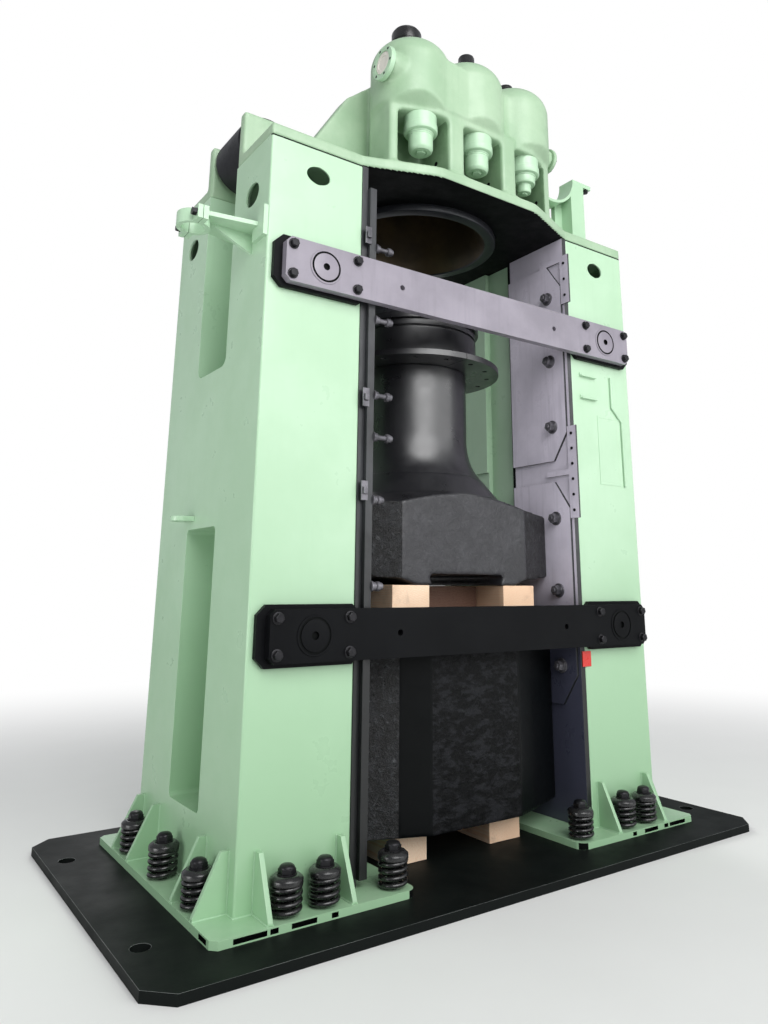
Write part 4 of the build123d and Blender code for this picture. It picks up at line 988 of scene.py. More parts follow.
@dataclass
class SprungFeet:
    """The bolts, coil springs, caps and nuts that hold the foot plates down."""

    seat: float = 0.081
    top: float = 0.213
    mean: float = 0.0655
    wire: float = 0.0118
    turns: int = 4
    steps: int = 28
    lift: float = 0.008
    grind: float = 0.0003
    shank: float = 0.028
    bore: float = 0.029
    shank_reach: float = 0.012
    cap_radius: float = 0.0785
    cap_height: float = 0.038
    nut_across: float = 0.074
    nut_height: float = 0.027
    washer: float = 0.004
    front_x: tuple[float, ...] = (0.690, 1.085, 1.288)
    front_y: float = 0.804
    side_x: float = 1.5925
    side_y: tuple[float, ...] = (-0.49, 0.0, 0.49)

    def places(self, side: int) -> list[Point]:
        """Where the bolts of one foot plate stand."""
        front = [(side * x, y, 0.0) for x in self.front_x for y in (-self.front_y, self.front_y)]
        return front + [(side * self.side_x, y, 0.0) for y in self.side_y]

    def build(self) -> None:
        """Make the springs, caps, nuts and bolts of both foot plates."""
        for word, side in BOTH_SIDES:
            places = self.places(side)
            springs = copies(self.coil(), places, f"{word}_springs")
            carry(springs, "base", SPRING_BLACK, f"{word}_foot_springs")
            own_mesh(springs)
            bolts = f"{word}_foot_bolts"
            for first, name, finish, node in (
                    (self.cap(), f"{word}_caps", CAP_BLACK, f"{word}_spring_caps"),
                    (self.nut(), f"{word}_nuts", DARK_STEEL, f"{word}_foot_nuts"),
                    (self.bolt(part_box(bolts)[0].z), bolts + ".turned", DARK_STEEL, bolts)):
                carry(copies(first, places, name), "base", finish, node)

    def bolt(self, low: float) -> Piece:
        """Turn the shank that runs from the base plate up into the acorn nut."""
        tall = self.top + self.cap_height + self.shank_reach - low
        profile = [(0.004, 0.0), (self.shank - 0.002, 0.0), (self.shank, 0.002),
                   (self.shank, tall), (0.004, tall)]
        return turned("bolt", profile, (0, 0, low), segments=40)

    def coil(self) -> Piece:
        """Wind one spring from round wire and grind its ends flat."""
        first = self.seat + self.wire * 0.3
        pitch = (self.top - self.seat - self.wire * 0.6) / self.turns
        deselect()
        bpy.ops.mesh.primitive_circle_add(vertices=14, radius=self.wire,
                                          location=(self.mean, 0, first), rotation=(pi / 2, 0, 0))
        piece = settle(named("coil"))
        modify(piece, "SCREW", axis="Z", angle=2 * pi, screw_offset=pitch, iterations=self.turns,
               steps=self.steps, render_steps=self.steps, use_merge_vertices=True,
               merge_threshold=0.00001)
        outwards(piece, fill=True)
        cut_off(piece, (0, 0, self.top - self.grind), (0, 0, 1))
        cut_off(piece, (0, 0, self.seat + self.grind), (0, 0, -1))
        smooth(piece)
        return piece

    def cap(self) -> Piece:
        """Turn the bevelled cap over a spring."""
        r, h, bore = self.cap_radius, self.cap_height, self.bore
        profile = [(bore, 0.0), (r - 0.002, 0.0), (r, 0.002), (r, h - 0.018),
                   (r - 0.002, h - 0.014), (r - 0.016, h - 0.002), (r - 0.020, h), (0.048, h),
                   (0.046, h - 0.001), (bore, h - 0.001), (bore, 0.0)]
        return turned("cap", profile, (0, 0, self.top), segments=64)

    def nut(self) -> Piece:
        """Make the acorn nut with its washer."""
        seat, thick = self.top + self.cap_height, self.washer
        ring = [(self.bore, 0), (0.046, 0), (0.046, thick - 0.001), (0.045, thick),
                (self.bore, thick), (self.bore, 0)]
        washer = turned("washer", ring, (0, 0, seat), segments=48)
        tall = self.nut_height - thick - 0.003
        head = hexagon("head", self.nut_across, tall, (0, 0, seat + thick), Axis.Z)
        dome = turned("dome", [(0.0375, 0), (0.0375, 0.003), (0.034, 0.010), (0.026, 0.0158),
                               (0.014, 0.0186), (0.003, 0.0192)], (0, 0, seat + 0.0245),
                      segments=48)
        return joined([head, washer, dome], "nut")


@dataclass
class Feet:
    """The base plate, the two foot plates, their gussets and welds."""

    plate_top: float = 0.081
    inner: float = 0.892
    outer: float = 1.507
    depth: float = 0.715
    run: float = 0.165
    height: float = 0.265
    half_blade: float = 0.013
    side_y: tuple[float, ...] = (-0.630, -0.355, 0.355, 0.630)
    front_x: tuple[float, ...] = (0.960, 1.400)
    bead_radius: float = 0.0065
    slots: tuple[tuple[Point, Point], ...] = (
        ((-1.66, -0.8922, 0.0508), (1.66, -0.8600, 0.0752)),
        ((-1.66, 0.8600, 0.0508), (1.66, 0.8922, 0.0752)),
        ((1.6475, -0.84, 0.0508), (1.6775, -0.74, 0.0752)),
        ((-1.6775, -0.84, 0.0508), (-1.6475, -0.74, 0.0752)))

    def build(self) -> None:
        """Dress the plates and gussets, and run the weld beads."""
        plate = eased("base_plate", "base", PLATE_BLACK, 0.005, 3)
        # The plate's rounded edges get a painted highlight.
        painted_if(plate, PAINTED_EDGE_HIGHLIGHT, lambda middle, way: 0.3 < way.z < 0.97)
        for word in ("right", "left"):
            foot = eased(f"{word}_foot", "frame", GREEN, 0.003)
            # The insides of the slots are painted black: painted shade in the recesses.
            for low, high in self.slots:
                painted_where(foot, PAINTED_SHADE_BLACK, low, high)
        eased("gussets", "frame", GREEN, 0.003)
        seams = self.column_seams() + self.gusset_seams()
        beads = [bead(f"seam.{i}", *seam, self.bead_radius) for i, seam in enumerate(seams)]
        right = joined(beads, "right_foot_welds")
        for welds in (right, reflected(right, "left_foot_welds")):
            carry(welds, "frame", WELD)

    def column_seams(self) -> list[tuple[Point, Point]]:
        """Seams round the foot of one column."""
        x0, x1, y, z = self.inner, self.outer, self.depth, self.plate_top
        return [((x0, -y, z), (x1, -y, z)), ((x0, y, z), (x1, y, z)),
                ((x0, -y, z), (x0, y, z)), ((x1, -y, z), (x1, y, z))]

    def gusset_seams(self) -> list[tuple[Point, Point]]:
        """Seams along both flanks of every gusset of one foot plate."""
        z, up = self.plate_top, self.plate_top + self.height
        seams: list[tuple[Point, Point]] = []
        for y in self.side_y:
            for flank in (y - self.half_blade, y + self.half_blade):
                seams.append(((self.outer, flank, z), (self.outer + self.run, flank, z)))
                seams.append(((self.outer, flank, z), (self.outer, flank, up)))
        for x in self.front_x:
            for way in (-1, 1):
                face, tip = way * self.depth, way * (self.depth + self.run)
                for flank in (x - self.half_blade, x + self.half_blade):
                    seams.append(((flank, face, z), (flank, tip, z)))
                    seams.append(((flank, face, z), (flank, face, up)))
        return seams


@dataclass
class Columns:
    """The two box columns with their small welded details."""

    panel: tuple[Point, Point] = ((1.140, -0.718, 2.264), (1.381, -0.713, 2.764))
    tag: tuple[Point, Point] = ((0.86, -0.73, 1.03), (0.95, -0.7151, 1.15))
    top: float = 4.081
    outside: float = 1.507
    gap: float = 0.892
    depth: float = 0.715
    plate: float = 0.040
    lip: float = 0.012
    # Height of the painted shadow line under the crown flange.
    seam: float = 0.010
    relief: float = 0.045
    front_hole: tuple[float, float] = (1.1995, 3.907)
    front_size: tuple[float, float] = (0.078, 0.056)
    side_holes: tuple[float, ...] = (-0.474, 0.480)
    side_z: float = 3.791
    side_size: tuple[float, float] = (0.092, 0.072)
    # Where the painted shade strip behind the front guide runs, in Y.
    strip: tuple[float, float] = (-0.148, -0.080)

    def build(self) -> None:
        """Dress the columns, the panel, the fittings and the tag."""
        for word, side in BOTH_SIDES:
            self.make_column(word, side)
        carry(self.make_panel(), "frame", GREEN)
        fittings = eased("column_fittings", "frame", GREEN, 0.0015)
        painted_where(fittings, TAG_RED, *self.tag)
        for node in ("lifting_eyes", "pipe_clamp", "pipe_clamp_cap"):
            eased(node, "frame", GREEN, 0.003)
        repaint(DARK_STEEL, "bracket_bolts")

    def make_column(self, word: str, side: int) -> None:
        """Dress one column: oval hand holes, a painted shadow line under the crown flange, and a
        painted shade strip behind the guide.

        Args:
            word: Which column.
            side: 1 for the right one, -1 for the left one.
        """
        piece = node_copy(f"{word}_column", f"{word}_column.dressed")
        deep = self.plate + 0.002
        x, z = self.front_hole
        wide, tall = self.front_size
        self.cut_hole(piece, (side * x, -self.depth, z), (wide, deep, tall), Axis.Y)
        long, high = self.side_size
        for y in self.side_holes:
            place = (side * self.outside, y, self.side_z)
            self.cut_hole(piece, place, (deep, long, high), Axis.X)
        seam, (strip_from, strip_to) = self.top - self.seam, self.strip
        sliced(piece, (0, 0, seam), (0, 0, 1))
        for y in self.strip:
            sliced(piece, (0, y, 0), (0, 1, 0))
        soften(piece, 0.003)
        carry(piece, "frame", GREEN, f"{word}_column")
        # A thin black band on the front just below the crown flange: a painted shadow line.
        painted_where(piece, PAINTED_SHADE_BLACK, (-2, -0.72, seam), (2, -0.70, self.top - 0.0005))
        # A black band on the inner face just behind the front guide: painted shade.
        painted_where(piece, PAINTED_SHADE_BLACK, (-self.gap - 0.002, strip_from, 0.2),
                      (self.gap + 0.002, strip_to, self.top))

    def cut_hole(self, piece: Piece, place: Point, size: Point, axis: Axis) -> None:
        """Cut an oval hole through the outer plate, thinned behind its lip.

        Args:
            piece: The column.
            place: Middle of the hole on the outer face.
            size: Half sizes along X, Y and Z.
            axis: Direction of the hole.
        """
        along = "XYZ".index(axis.name)
        inward = -1 if place[along] > 0 else 1
        for grow, start in ((0.0, -0.01), (self.relief, self.lip)):
            half = [value + (0 if i == along else grow) for i, value in enumerate(size)]
            deselect()
            bpy.ops.mesh.primitive_cylinder_add(vertices=64, radius=1, depth=2)
            cutter = named("hole_cutter")
            cutter.rotation_euler = axis.value
            settle(cutter)
            cutter.scale = half
            centre = Vector(place)
            centre[along] += inward * (start + half[along])
            cutter.location = centre
            settle(cutter)
            modify(piece, "BOOLEAN", operation="DIFFERENCE", object=cutter, solver="EXACT")
            bpy.data.objects.remove(cutter)

    def make_panel(self) -> Piece:
        """Cut the thin cover panel with its sunk field."""
        piece = block("cover_panel", *self.panel)
        pick_faces(piece, (0, -1, 0))
        bpy.ops.mesh.inset(thickness=0.012)
        bpy.ops.mesh.inset(thickness=0.002)
        bpy.ops.transform.translate(value=(0, 0.0015, 0))
        close()
        soften(piece, 0.0006)
        return piece


@dataclass
class Crown:
    """The crown casting with its valve gear, rollers and cradle."""

    voxel: float = 0.0125
    rounds: int = 4
    most_faces: int = 95000
    base: float = 4.081
    gap: float = 0.892
    valves: tuple[tuple[float, float], ...] = ((-0.482, -0.755), (-0.020, -0.773), (0.442, -0.755))
    bay_top: float = 4.543
    bay_floor: float = 4.150
    bay_half: float = 0.178
    bay_shift: float = -0.015
    bay_lip: float = 0.845
    tall_cap: Point = (-0.482, -0.590, 5.129)
    caps: tuple[Point, ...] = ((-0.020, -0.682, 5.129), (0.442, -0.590, 5.129))
    lubricators: tuple[tuple[float, float, float, float], ...] = (
        (0.060, -0.600, 0.046, 5.262), (0.600, -0.600, 0.038, 5.235), (0.470, -0.560, 0.015, 5.290))
    lubricator_foot: float = 5.03
    drain_x: float = 0.157
    drain_y: float = -0.720
    drain_z: float = 4.285
    inlet: Point = (-0.760, -0.760, 4.831)
    outlet: Point = (0.730, -0.700, 4.681)

    def build(self) -> None:
        """Make the casting and everything bolted to it."""
        self.make_casting()
        bonnets = [self.bonnet(x, y, index == 2) for index, (x, y) in enumerate(self.valves)]
        carry(joined(bonnets, "bonnets"), "frame", GREEN, "valve_bonnets")
        carry(self.make_tall_cap(), "frame", CAP_BLACK, "inlet_cap")
        carry(self.make_caps(), "frame", CAP_BLACK, "lobe_caps")
        carry(self.make_cap_nuts(), "frame", DARK_STEEL)
        eased("inlet_flange", "frame", GREEN, 0.003)
        carry(self.make_plug(), "frame", PALE)
        carry(self.make_flange_bolts(), "frame", DARK_STEEL)
        eased("outlet_cover", "frame", CAST_GREEN, 0.006)
        eased("cradle", "frame", GREEN, 0.003)
        eased("cylinder_head", "frame", CAST_GREEN, 0.006)
        eased("head_bolts", "frame", GREEN, 0.002)
        repaint(BRIGHT, "roller_axles", "left_spool", "middle_spool", "right_spool")
        for word in ("right", "left"):
            eased(f"{word}_roller", f"{word}_roller", ROLLER_IRON, 0.002)
        carry(self.make_rod(), "frame", COPPER)
        carry(self.make_valve_fittings(), "frame", CAP_BLACK)
        # Black discs stand for the shade inside the drain holes.
        carry(self.make_drain_shades(), "frame", PAINTED_SHADE_BLACK)

    def make_casting(self) -> None:
        """Blend the CAD crown's corners into the soft fillets of a casting, with painted shade
        black under it and oily, shaded green in the valve bays.
        """
        piece = node_copy("crown", "crown_casting", flat=False)
        modify(piece, "REMESH", mode="VOXEL", voxel_size=self.voxel, adaptivity=0.0)
        modify(piece, "SMOOTH", factor=0.5, iterations=self.rounds)
        share = self.most_faces / len(piece.data.polygons)
        if share < 1:
            modify(piece, "DECIMATE", decimate_type="COLLAPSE", ratio=share)
        smooth(piece, radians(50))
        carry(piece, "frame", CAST_GREEN, "crown")
        # Black under the crown between the columns: painted shade.
        painted_where(piece, PAINTED_SHADE_BLACK, (-self.gap, -2.0, self.base - 0.02),
                      (self.gap, 2.0, self.base + 0.004))
        # The bay interiors get the darker green: oil and painted shade.
        for x, _ in self.valves:
            middle = x + self.bay_shift
            painted_where(piece, SHADED_OILY_BAY_GREEN, (middle - self.bay_half, -self.bay_lip, self.bay_floor),
                          (middle + self.bay_half, -0.50, self.bay_top - 0.008))

    def bonnet(self, x: float, y: float, small: bool) -> Piece:
        """Turn one bonnet: a wide collar, a groove and a narrower cup below.

        Args:
            x: Middle of the bonnet.
            y: Middle of the bonnet.
            small: Whether its cup steps down once more.

        Returns:
            The bonnet with the hexagon in its end.
        """
        collar = [(0.107, 0.0), (0.107, -0.066), (0.112, -0.071), (0.112, -0.108),
                  (0.108, -0.116), (0.100, -0.120), (0.088, -0.121), (0.086, -0.129),
                  (0.082, -0.132)]
        cup = [(0.082, -0.140), (0.0795, -0.143), (0.0795, -0.150), (0.082, -0.153),
               (0.081, -0.226), (0.077, -0.240), (0.066, -0.250), (0.042, -0.250),
               (0.036, -0.244), (0.020, -0.244)]
        short = [(0.081, -0.176), (0.076, -0.184), (0.052, -0.186), (0.050, -0.190),
                 (0.050, -0.234), (0.046, -0.246), (0.036, -0.250), (0.020, -0.250)]
        lower, across = (short, 0.044) if small else (cup, 0.056)
        shell = turned("bonnet", collar + lower, (x, y, self.bay_top), segments=72)
        seat = (x, y, self.bay_top - 0.243)
        head = hexagon("socket", across, 0.014, seat, Axis.MINUS_Z, radians(20))
        return joined([shell, head], "bonnet")

    def make_tall_cap(self) -> Piece:
        """Turn the tall black cap with its rim and two grooves."""
        profile = [(0.110, 0.0), (0.112, 0.002), (0.112, 0.030), (0.109, 0.034), (0.104, 0.036),
                   (0.104, 0.072), (0.101, 0.074), (0.101, 0.080), (0.104, 0.082), (0.104, 0.150),
                   (0.102, 0.156), (0.096, 0.160), (0.096, 0.165), (0.090, 0.174), (0.080, 0.179),
                   (0.030, 0.179), (0.028, 0.176), (0.010, 0.176)]
        return turned("tall_cap", profile, self.tall_cap, segments=72)

    def make_caps(self) -> Piece:
        """Turn the two low caps with their studs."""
        profile = [(0.076, 0.0), (0.076, 0.030), (0.073, 0.037), (0.064, 0.045), (0.046, 0.046),
                   (0.060, 0.048), (0.058, 0.052), (0.058, 0.112), (0.054, 0.122), (0.044, 0.128),
                   (0.020, 0.135), (0.010, 0.136)]
        caps = [turned("low_cap", profile, place, segments=64) for place in self.caps]
        return joined(caps, "low_caps")

    def make_cap_nuts(self) -> Piece:
        """Set four small bolt heads on the rim of each low cap."""
        heads = []
        for x, y, z in self.caps:
            for i in range(4):
                angle = pi / 4 + i * pi / 2
                place = (x + 0.057 * cos(angle), y + 0.057 * sin(angle), z + 0.038)
                heads.append(hexagon("cap_bolt", 0.018, 0.009, place, Axis.Z, angle))
        return joined(heads, "cap_bolts")

    def make_plug(self) -> Piece:
        """Turn the pale transport plug in the air inlet."""
        x, y, z = self.inlet
        profile = [(0.0745, 0.0), (0.0745, 0.020), (0.071, 0.024), (0.050, 0.025), (0.047, 0.021),
                   (0.012, 0.021)]
        return turned("transport_plug", profile, (x - 0.006, y, z), Axis.MINUS_X, 64)

    def make_flange_bolts(self) -> Piece:
        """Set bolt heads behind the inlet flange and on the exhaust cover."""
        heads = []
        for i in range(6):
            angle = i * pi / 3 + 0.26
            x, y, z = self.inlet
            place = (x - 0.026, y + 0.094 * cos(angle), z + 0.094 * sin(angle))
            heads.append(hexagon("flange_bolt", 0.018, 0.008, place, Axis.MINUS_X, angle))
            x, y, z = self.outlet
            place = (x + 0.0275, y + 0.074 * cos(angle), z + 0.074 * sin(angle))
            heads.append(hexagon("cover_bolt", 0.020, 0.010, place, Axis.X, angle))
        return joined(heads, "flange_bolts")

    def make_rod(self) -> Piece:
        """Stand the thin reddish rod behind the middle lobe."""
        profile = [(0.016, 0.0), (0.016, 0.012), (0.009, 0.015), (0.009, 0.100), (0.012, 0.103),
                   (0.012, 0.122), (0.007, 0.130)]
        return turned("indicator_rod", profile, (0.050, -0.530, 5.120), segments=32)

    def make_valve_fittings(self) -> Piece:
        """Make the small black lubricators behind the middle and right lobes."""
        pieces = []
        for x, y, radius, top in self.lubricators:
            tall = top - self.lubricator_foot
            body = [(radius * 1.25, 0.0), (radius * 1.25, 0.3 * tall), (radius, 0.3 * tall + 0.004),
                    (radius, tall - 0.03), (radius * 1.1, tall - 0.028),
                    (radius * 1.1, tall - 0.008), (radius * 0.9, tall), (radius * 0.3, tall)]
            pieces.append(turned("lubricator", body, (x, y, self.lubricator_foot), segments=40))
        return joined(pieces, "lubricators")

    def make_drain_shades(self) -> Piece:
        """Set small black discs low in the right walls of the three bays, at the drain holes:
        painted shade of the holes.
        """
        profile = [(0.015, 0.0), (0.015, 0.005), (0.012, 0.007), (0.008, 0.003), (0.002, 0.003)]
        plug = turned("plug", profile, (0, 0, 0), Axis.MINUS_X, 32)
        places = [(x + self.drain_x, self.drain_y, self.drain_z) for x, _ in self.valves]
        return copies(plug, places, "drain_hole_shades")


@dataclass
class Cylinder:
    """The cylinder liner with its rim under the crown."""

    low: float = 4.031
    rim: float = 0.620
    outside: float = 0.533
    bore: float = 0.481
    lead: float = 0.543
    seat: float = 4.081
    top: float = 4.941

    def build(self) -> None:
        """Turn the liner, its rim and the lead-in of its bore."""
        low, top = 0.0, self.top - self.low
        seat = self.seat - self.low
        profile = [(self.lead, low), (self.rim - 0.010, low), (self.rim - 0.003, 0.003),
                   (self.rim, 0.010), (self.rim, seat - 0.012), (self.rim - 0.004, seat - 0.006),
                   (self.rim - 0.004, seat), (self.outside, seat), (self.outside, top),
                   (self.bore, top), (self.bore, 0.112), (self.lead - 0.006, 0.010),
                   (self.lead, low)]
        piece = turned("liner", profile, (0, 0, self.low), segments=160)
        carry(piece, "frame", LINER, "cylinder_liner")
        painted_where(piece, RIM, (-1, -1, self.low - 0.01), (1, 1, self.seat + 0.001))


@dataclass
class UpperRam:
    """The upper ram: forged head, trunk, rod, piston and gland."""

    low: float = 1.561
    bell: float = 2.271
    bell_radius: float = 0.480
    flare_mid: tuple[float, float] = (0.408, 2.396)
    trunk: float = 0.385
    flare_top: float = 2.561
    flare_steps: int = 12
    gland: float = 3.016
    rod: float = 0.372
    piston: float = 3.321
    spigot: float = 0.300
    top: float = 3.551
    voxel: float = 0.011
    skin: float = 0.006
    guide_face: float = 0.826
    front: float = 0.496

    def build(self) -> None:
        """Make the head, trunk and the parts that ride with them."""
        head = self.make_head()
        trunk = self.make_trunk()
        carry(head, "ram", HEAD_SKIN, "upper_ram")
        painted_if(head, BUBBLED,
                   lambda middle, way: abs(middle.x) > self.front and abs(middle.y) > 0.3)
        painted_if(head, RAM_BLACK,
                   lambda middle, way: abs(way.z) > 0.3 and middle.z > self.low + 0.4)
        carry(trunk, "ram", RAM_BLACK)
        eased("piston", "ram", RAM_BLACK, 0.002)
        eased("piston_plate", "ram", BRIGHT, 0.002)
        repaint(RING_IRON, "piston_rings")
        repaint(RUBBER, "gland_packing")
        eased("gland", "ram", RAM_BLACK, 0.004)
        for word in ("right", "left"):
            eased(f"{word}_gland_half", "ram", RAM_BLACK, 0.003)

    def make_head(self) -> Piece:
        """Forge the head: the CAD head under a coarse skin."""
        piece = node_copy("upper_ram", "ram_head", flat=False)
        cut_off(piece, (0, 0, self.bell), (0, 0, 1))
        flanks = (self.low + 0.02, self.low + 0.49)
        return forged(piece, self.voxel, self.skin, self.guide_face, flanks,
                      lambda point: 1.0 if abs(point.x) > self.front else 0.3)

    def make_trunk(self) -> Piece:
        """Turn the trunk with its bell-shaped foot, the rod and the spigot."""
        low = self.bell - 0.006
        foot, middle = (self.bell_radius, self.bell), self.flare_mid
        high = (self.trunk, self.flare_top)
        bend = [2 * m - (a + b) / 2 for a, m, b in zip(foot, middle, high)]
        profile = [(self.bell_radius + 0.003, 0.0)]
        for i in range(1, self.flare_steps + 1):
            t = i / self.flare_steps
            r, z = [(1 - t) ** 2 * a + 2 * t * (1 - t) * c + t ** 2 * b
                    for a, c, b in zip(foot, bend, high)]
            profile.append((r, z - low))
        gland, piston, top = self.gland - low, self.piston - low, self.top - low
        profile += [(self.trunk, gland - 0.006), (self.trunk - 0.004, gland), (self.rod, gland),
                    (self.rod, piston), (self.spigot, piston), (self.spigot, top)]
        return turned("ram_trunk", profile, (0, 0, low), segments=144)


def forged(piece: Piece, voxel: float, skin: float, guide_face: float,
           rough: tuple[float, float], share: Callable[[Vector], float]) -> Piece:
    """Give a forging's free flanks a coarse skin, and leave its running faces flat.

    Args:
        piece: The forging, closed.
        voxel: Mesh size of the skin.
        skin: Height of its lumps.
        guide_face: Faces further out than this slide in the guides and stay flat.
        rough: Lowest and highest point of the coarse skin.
        share: How coarse the skin is at a point, from 0 to 1.

    Returns:
        The same piece.
    """
    modify(piece, "REMESH", mode="VOXEL", voxel_size=voxel, adaptivity=0.0)
    modify(piece, "SMOOTH", factor=0.5, iterations=2)
    group = piece.vertex_groups.new(name="skin")
    for point in piece.data.vertices:
        if (abs(point.co.x) < guide_face and rough[0] < point.co.z < rough[1]
                and abs(point.normal.z) < 0.5):
            group.add([point.index], share(point.co), "REPLACE")
    for scale, depth in ((0.09, skin), (0.022, skin * 0.5)):
        grain = bpy.data.textures.new(f"{piece.name}.{scale}", "CLOUDS")
        grain.noise_scale = scale
        grain.noise_depth = 3
        modify(piece, "DISPLACE", texture=grain, texture_coords="LOCAL", strength=-depth,
               mid_level=0.25, vertex_group="skin")
    smooth(piece, radians(45))
    return piece


@dataclass
class LowerRam:
    """The faceted lower ram."""

    low: float = 0.221
    high: float = 1.311
    voxel: float = 0.0125
    skin: float = 0.007
    guide_face: float = 0.826
    front: float = 0.333
    facet: float = 0.512

    def build(self) -> None:
        """Forge the block from the CAD's own, with smooth facets beside its rough front."""
        piece = node_copy("lower_ram", "anvil_block", flat=False)
        forged(piece, self.voxel, self.skin, self.guide_face, (self.low + 0.02, self.high - 0.04),
               lambda point: 0.08 if self.smooth_at(point) else 1.0)
        carry(piece, "anvil", ANVIL_SKIN, "lower_ram")
        painted_if(piece, SMOOTH_BLACK, lambda middle, way: self.smooth_at(middle))
        painted_if(piece, BUBBLED, lambda middle, way: middle.x < -self.facet)

    def smooth_at(self, point: Vector) -> bool:
        """Tell whether a point lies on a smooth facet beside the rough front."""
        return point.x > self.front or -self.facet < point.x < -self.front


@dataclass
class Timbers:
    """The sawn timbers under both rams and the plank between the upper two."""

    upper_width: float = 0.270
    upper_x: float = 0.430
    lower_width: float = 0.250
    lower_x: float = 0.360
    arris: float = 0.004
    waves: float = 0.002
    cuts_apart: float = 0.05

    def build(self) -> None:
        """Saw the timbers to the sizes of the CAD's."""
        upper = self.pair("upper_timbers", self.upper_width, self.upper_x)
        carry(upper, "anvil", WOOD, "upper_timbers")
        lower = self.pair("lower_timbers", self.lower_width, self.lower_x)
        carry(lower, "base", WOOD, "lower_timbers")
        low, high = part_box("spreader_plank")
        plank = self.saw("plank", low, high)
        carry(plank, "anvil", OLD_WOOD, "spreader_plank")

    def pair(self, node: str, width: float, x: float) -> Piece:
        """Saw one timber and set it on both sides of the middle."""
        low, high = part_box(node)
        halves = [self.saw(f"{node}.{word}", (side * x - width / 2, low.y, low.z),
                           (side * x + width / 2, high.y, high.z)) for word, side in BOTH_SIDES]
        return joined(halves, node + ".sawn")

    def saw(self, name: str, low: Point, high: Point) -> Piece:
        """Saw one timber with rounded arrises and slightly wavy faces."""
        piece = slab(name, [a + 0.0005 for a in low], [b - 0.0005 for b in high], self.arris)
        count = max(round((high[1] - low[1]) / self.cuts_apart), 2)
        for i in range(1, count):
            sliced(piece, (0, low[1] + (high[1] - low[1]) * i / count, 0), (0, 1, 0))
        grain = bpy.data.textures.new(name + ".waves", "CLOUDS")
        grain.noise_scale = 0.16
        modify(piece, "DISPLACE", texture=grain, texture_coords="LOCAL", strength=-self.waves,
               mid_level=0.0)
        smooth(piece)
        return piece


@dataclass
class Guides:
    """The guide plates, wear plates, rails and their bolts."""

    face: float = 0.832
    bolt_y: float = 0.567
    across: float = 0.060
    head: float = 0.034
    washer: float = 0.047
    washer_height: float = 0.012
    screw_face: float = 0.8378
    foot_top: float = 0.081
    wear_length: float = 1.470
    wear_low: tuple[float, ...] = (0.720, 2.340)
    first: float = 0.254
    pitch: float = 0.486
    stud_z: tuple[float, ...] = (3.545, 3.088, 2.628, 2.382, 2.023, 1.551)
    stud_long: tuple[float, ...] = (0.125, 0.125, 0.125, 0.130, 0.075, 0.075)
    stud_x: float = -0.807
    stud_y: float = -0.730
    bracket_z: tuple[float, ...] = (3.610, 2.605, 2.070)
    brackets: tuple[tuple[str, tuple[float, float], tuple[float, float], float], ...] = (
        ("bracket", (-0.886, -0.752), (-0.842, -0.7432), 0.055),
        ("lug", (-0.878, -0.766), (-0.850, -0.750), 0.020))

    def build(self) -> None:
        """Dress the plates and rails in lit and shaded copies of the primer, and set the bolts and
        studs.
        """
        # The right guides take the lit copy of the primer, the left guides the shaded copy.
        for word, finish in (("right", LIT_GUIDE_PRIMER), ("left", SHADED_GUIDE_PRIMER)):
            plates = [eased(f"{word}_guides", "frame", finish, 0.003),
                      eased(f"{word}_wear_plates", "frame", finish, 0.0015)]
            for plate in plates:
                # Faces that do not face across the gap, the plate edges, get the shaded primer:
                # painted shadow gaps.
                painted_if(plate, SHADED_GUIDE_PRIMER, lambda middle, way: abs(way.x) < 0.6)
                painted_if(plate, GREEN, lambda middle, way: middle.y > 0)
        rails = eased("guide_rails", "frame", LIT_GUIDE_PRIMER, 0.0015)
        # The left rails and all rail edges take the shaded primer: painted shade.
        painted_if(rails, SHADED_GUIDE_PRIMER, lambda middle, way: middle.x < 0 or abs(way.x) < 0.6)
        painted_if(rails, DARK_STEEL, lambda middle, way: 0 < middle.x < self.screw_face)
        right = self.bolts()
        left = reflected(right, "left_bolts")
        carry(right, "frame", WORN_STEEL, "right_guide_bolts")
        carry(left, "frame", WORN_STEEL, "left_guide_bolts")
        carry(self.studs(), "frame", WORN_STEEL)

    def bolts(self) -> Piece:
        """Set the washers and hexagon heads of the right guides."""
        seat, base = self.face, self.washer_height
        ring = [(0.012, 0), (self.washer, 0), (self.washer, base - 0.003),
                (self.washer - 0.003, base), (0.038, base), (0.036, base - 0.002),
                (0.034, base + 0.002), (0.012, base + 0.002), (0.012, 0)]
        washer = turned("washer", ring, (seat, 0, 0), Axis.MINUS_X, 48)
        head_seat = (seat - base - 0.002, 0, 0)
        head = hexagon("head", self.across, self.head, head_seat, Axis.MINUS_X, 0.2)
        tip = base + self.head
        stud = turned("stud", [(0.017, 0), (0.017, 0.013), (0.014, 0.016), (0.004, 0.016)],
                      (seat - tip, 0, 0), Axis.MINUS_X, 28)
        places = []
        for way in (-1, 1):
            for low in self.wear_low:
                for i in range(3):
                    z = self.foot_top + low + self.wear_length - self.first - i * self.pitch
                    places.append((0, way * self.bolt_y, z))
        return copies(joined([washer, head, stud], "guide_bolt"), places, "right_bolts")

    def studs(self) -> Piece:
        """Set the side studs and small brackets along the left strip."""
        pieces = []
        for z, reach in zip(self.stud_z, self.stud_long):
            profile = [(0.030, 0), (0.030, 0.010), (0.024, 0.012), (0.024, 0.030), (0.014, 0.031),
                       (0.014, reach - 0.040), (0.022, reach - 0.039), (0.026, reach - 0.034),
                       (0.026, reach - 0.016), (0.020, reach - 0.014), (0.020, reach),
                       (0.003, reach)]
            pieces.append(turned("stud", profile, (self.stud_x, self.stud_y, z), Axis.X, 28))
        for z in self.bracket_z:
            for name, (x0, y0), (x1, y1), half in self.brackets:
                pieces.append(slab(name, (x0, y0, z - half), (x1, y1, z + half), 0.003))
        return joined(pieces, "left_strip_studs")


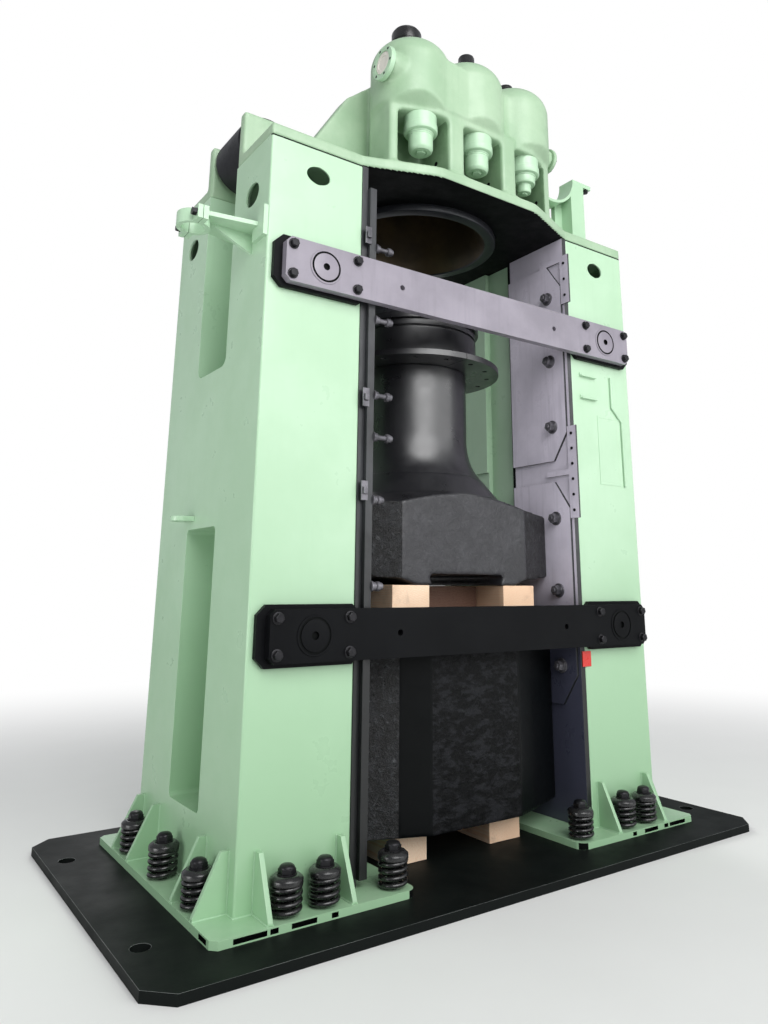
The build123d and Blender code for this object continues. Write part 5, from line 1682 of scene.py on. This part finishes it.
@dataclass
class TieBars:
    """The two tie bars across the front with their pads, pins and bolts."""

    split: float = 2.3
    face: float = -0.797
    heights: tuple[float, ...] = (3.307, 1.307)
    middle: float = 1.175
    bolt_dx: float = 0.208
    bolt_dz: float = 0.088
    bolt_across: float = 0.044
    bolt_head: float = 0.022
    disc: float = 0.102
    eye: float = 0.021

    def build(self) -> None:
        """Dress the bars and pads, and set the pins and bolts."""
        eased("upper_tie_bar", "frame", PRIMER, 0.004, 3)
        eased("lower_tie_bar", "frame", BAR_BLACK, 0.004, 3)
        eased("tie_pads", "frame", BAR_BLACK, 0.004, 3)
        pins = self.pins()
        carry(pins, "frame", BAR_BLACK, "tie_pins")
        painted_where(pins, PRIMER, (-2, -2, self.split), (2, 2, 5))
        # The groove and eye of each pin are painted black: painted shade.
        painted_if(pins, PAINTED_SHADE_BLACK, self.shaded_groove_and_eye)
        carry(self.bolts(), "frame", DARK_STEEL, "tie_bolts")

    def pins(self) -> Piece:
        """Turn the flat pin discs with a ring groove and a centre hole."""
        r = self.disc
        profile = [(r, -0.006), (r, 0.003), (r - 0.002, 0.005), (r - 0.010, 0.005),
                   (r - 0.011, 0.001), (r - 0.021, 0.001), (r - 0.022, 0.006), (r - 0.026, 0.007),
                   (self.eye, 0.007), (self.eye - 0.001, 0.005), (self.eye - 0.002, -0.012),
                   (0.002, -0.012)]
        places = [(side * self.middle, self.face, z) for side in (-1, 1) for z in self.heights]
        return copies(turned("pin", profile, (0, 0, 0), Axis.MINUS_Y, 96), places, "tie_pin_discs")

    def shaded_groove_and_eye(self, middle: Vector, way: Vector) -> bool:
        """Tell whether a face of a pin lies in its groove or its eye, which get painted shade."""
        height = min(self.heights, key=lambda z: abs(z - middle.z))
        reach = Vector((abs(middle.x) - self.middle, middle.z - height)).length
        return self.disc - 0.0225 < reach < self.disc - 0.0095 or reach < self.eye

    def bolts(self) -> Piece:
        """Set the hexagon heads on thin washers at the ends of both bars."""
        ring = [(0.010, 0), (0.031, 0), (0.031, 0.003), (0.029, 0.004), (0.010, 0.004), (0.010, 0)]
        washer = turned("washer", ring, (0, 0, 0), Axis.MINUS_Y, 40)
        head = hexagon("head", self.bolt_across, self.bolt_head, (0, -0.004, 0), Axis.MINUS_Y, 0.3)
        places = [(side * self.middle + dx, self.face, z + dz)
                  for side in (-1, 1) for z in self.heights
                  for dx in (-self.bolt_dx, self.bolt_dx) for dz in (-self.bolt_dz, self.bolt_dz)]
        return copies(joined([head, washer], "tie_bolt"), places, "tie_bolt_heads")


# The whole hammer


def main() -> None:
    """Dress the hammer, one sub-assembly after the other."""
    for assembly in (SprungFeet(), Feet(), Columns(), Crown(), Cylinder(), UpperRam(), LowerRam(),
                     Timbers(), Guides(), TieBars(), Studio()):
        assembly.build()
        LOG.info("%s is done", type(assembly).__name__)
    deselect()


if __name__ == "__main__":
    main()
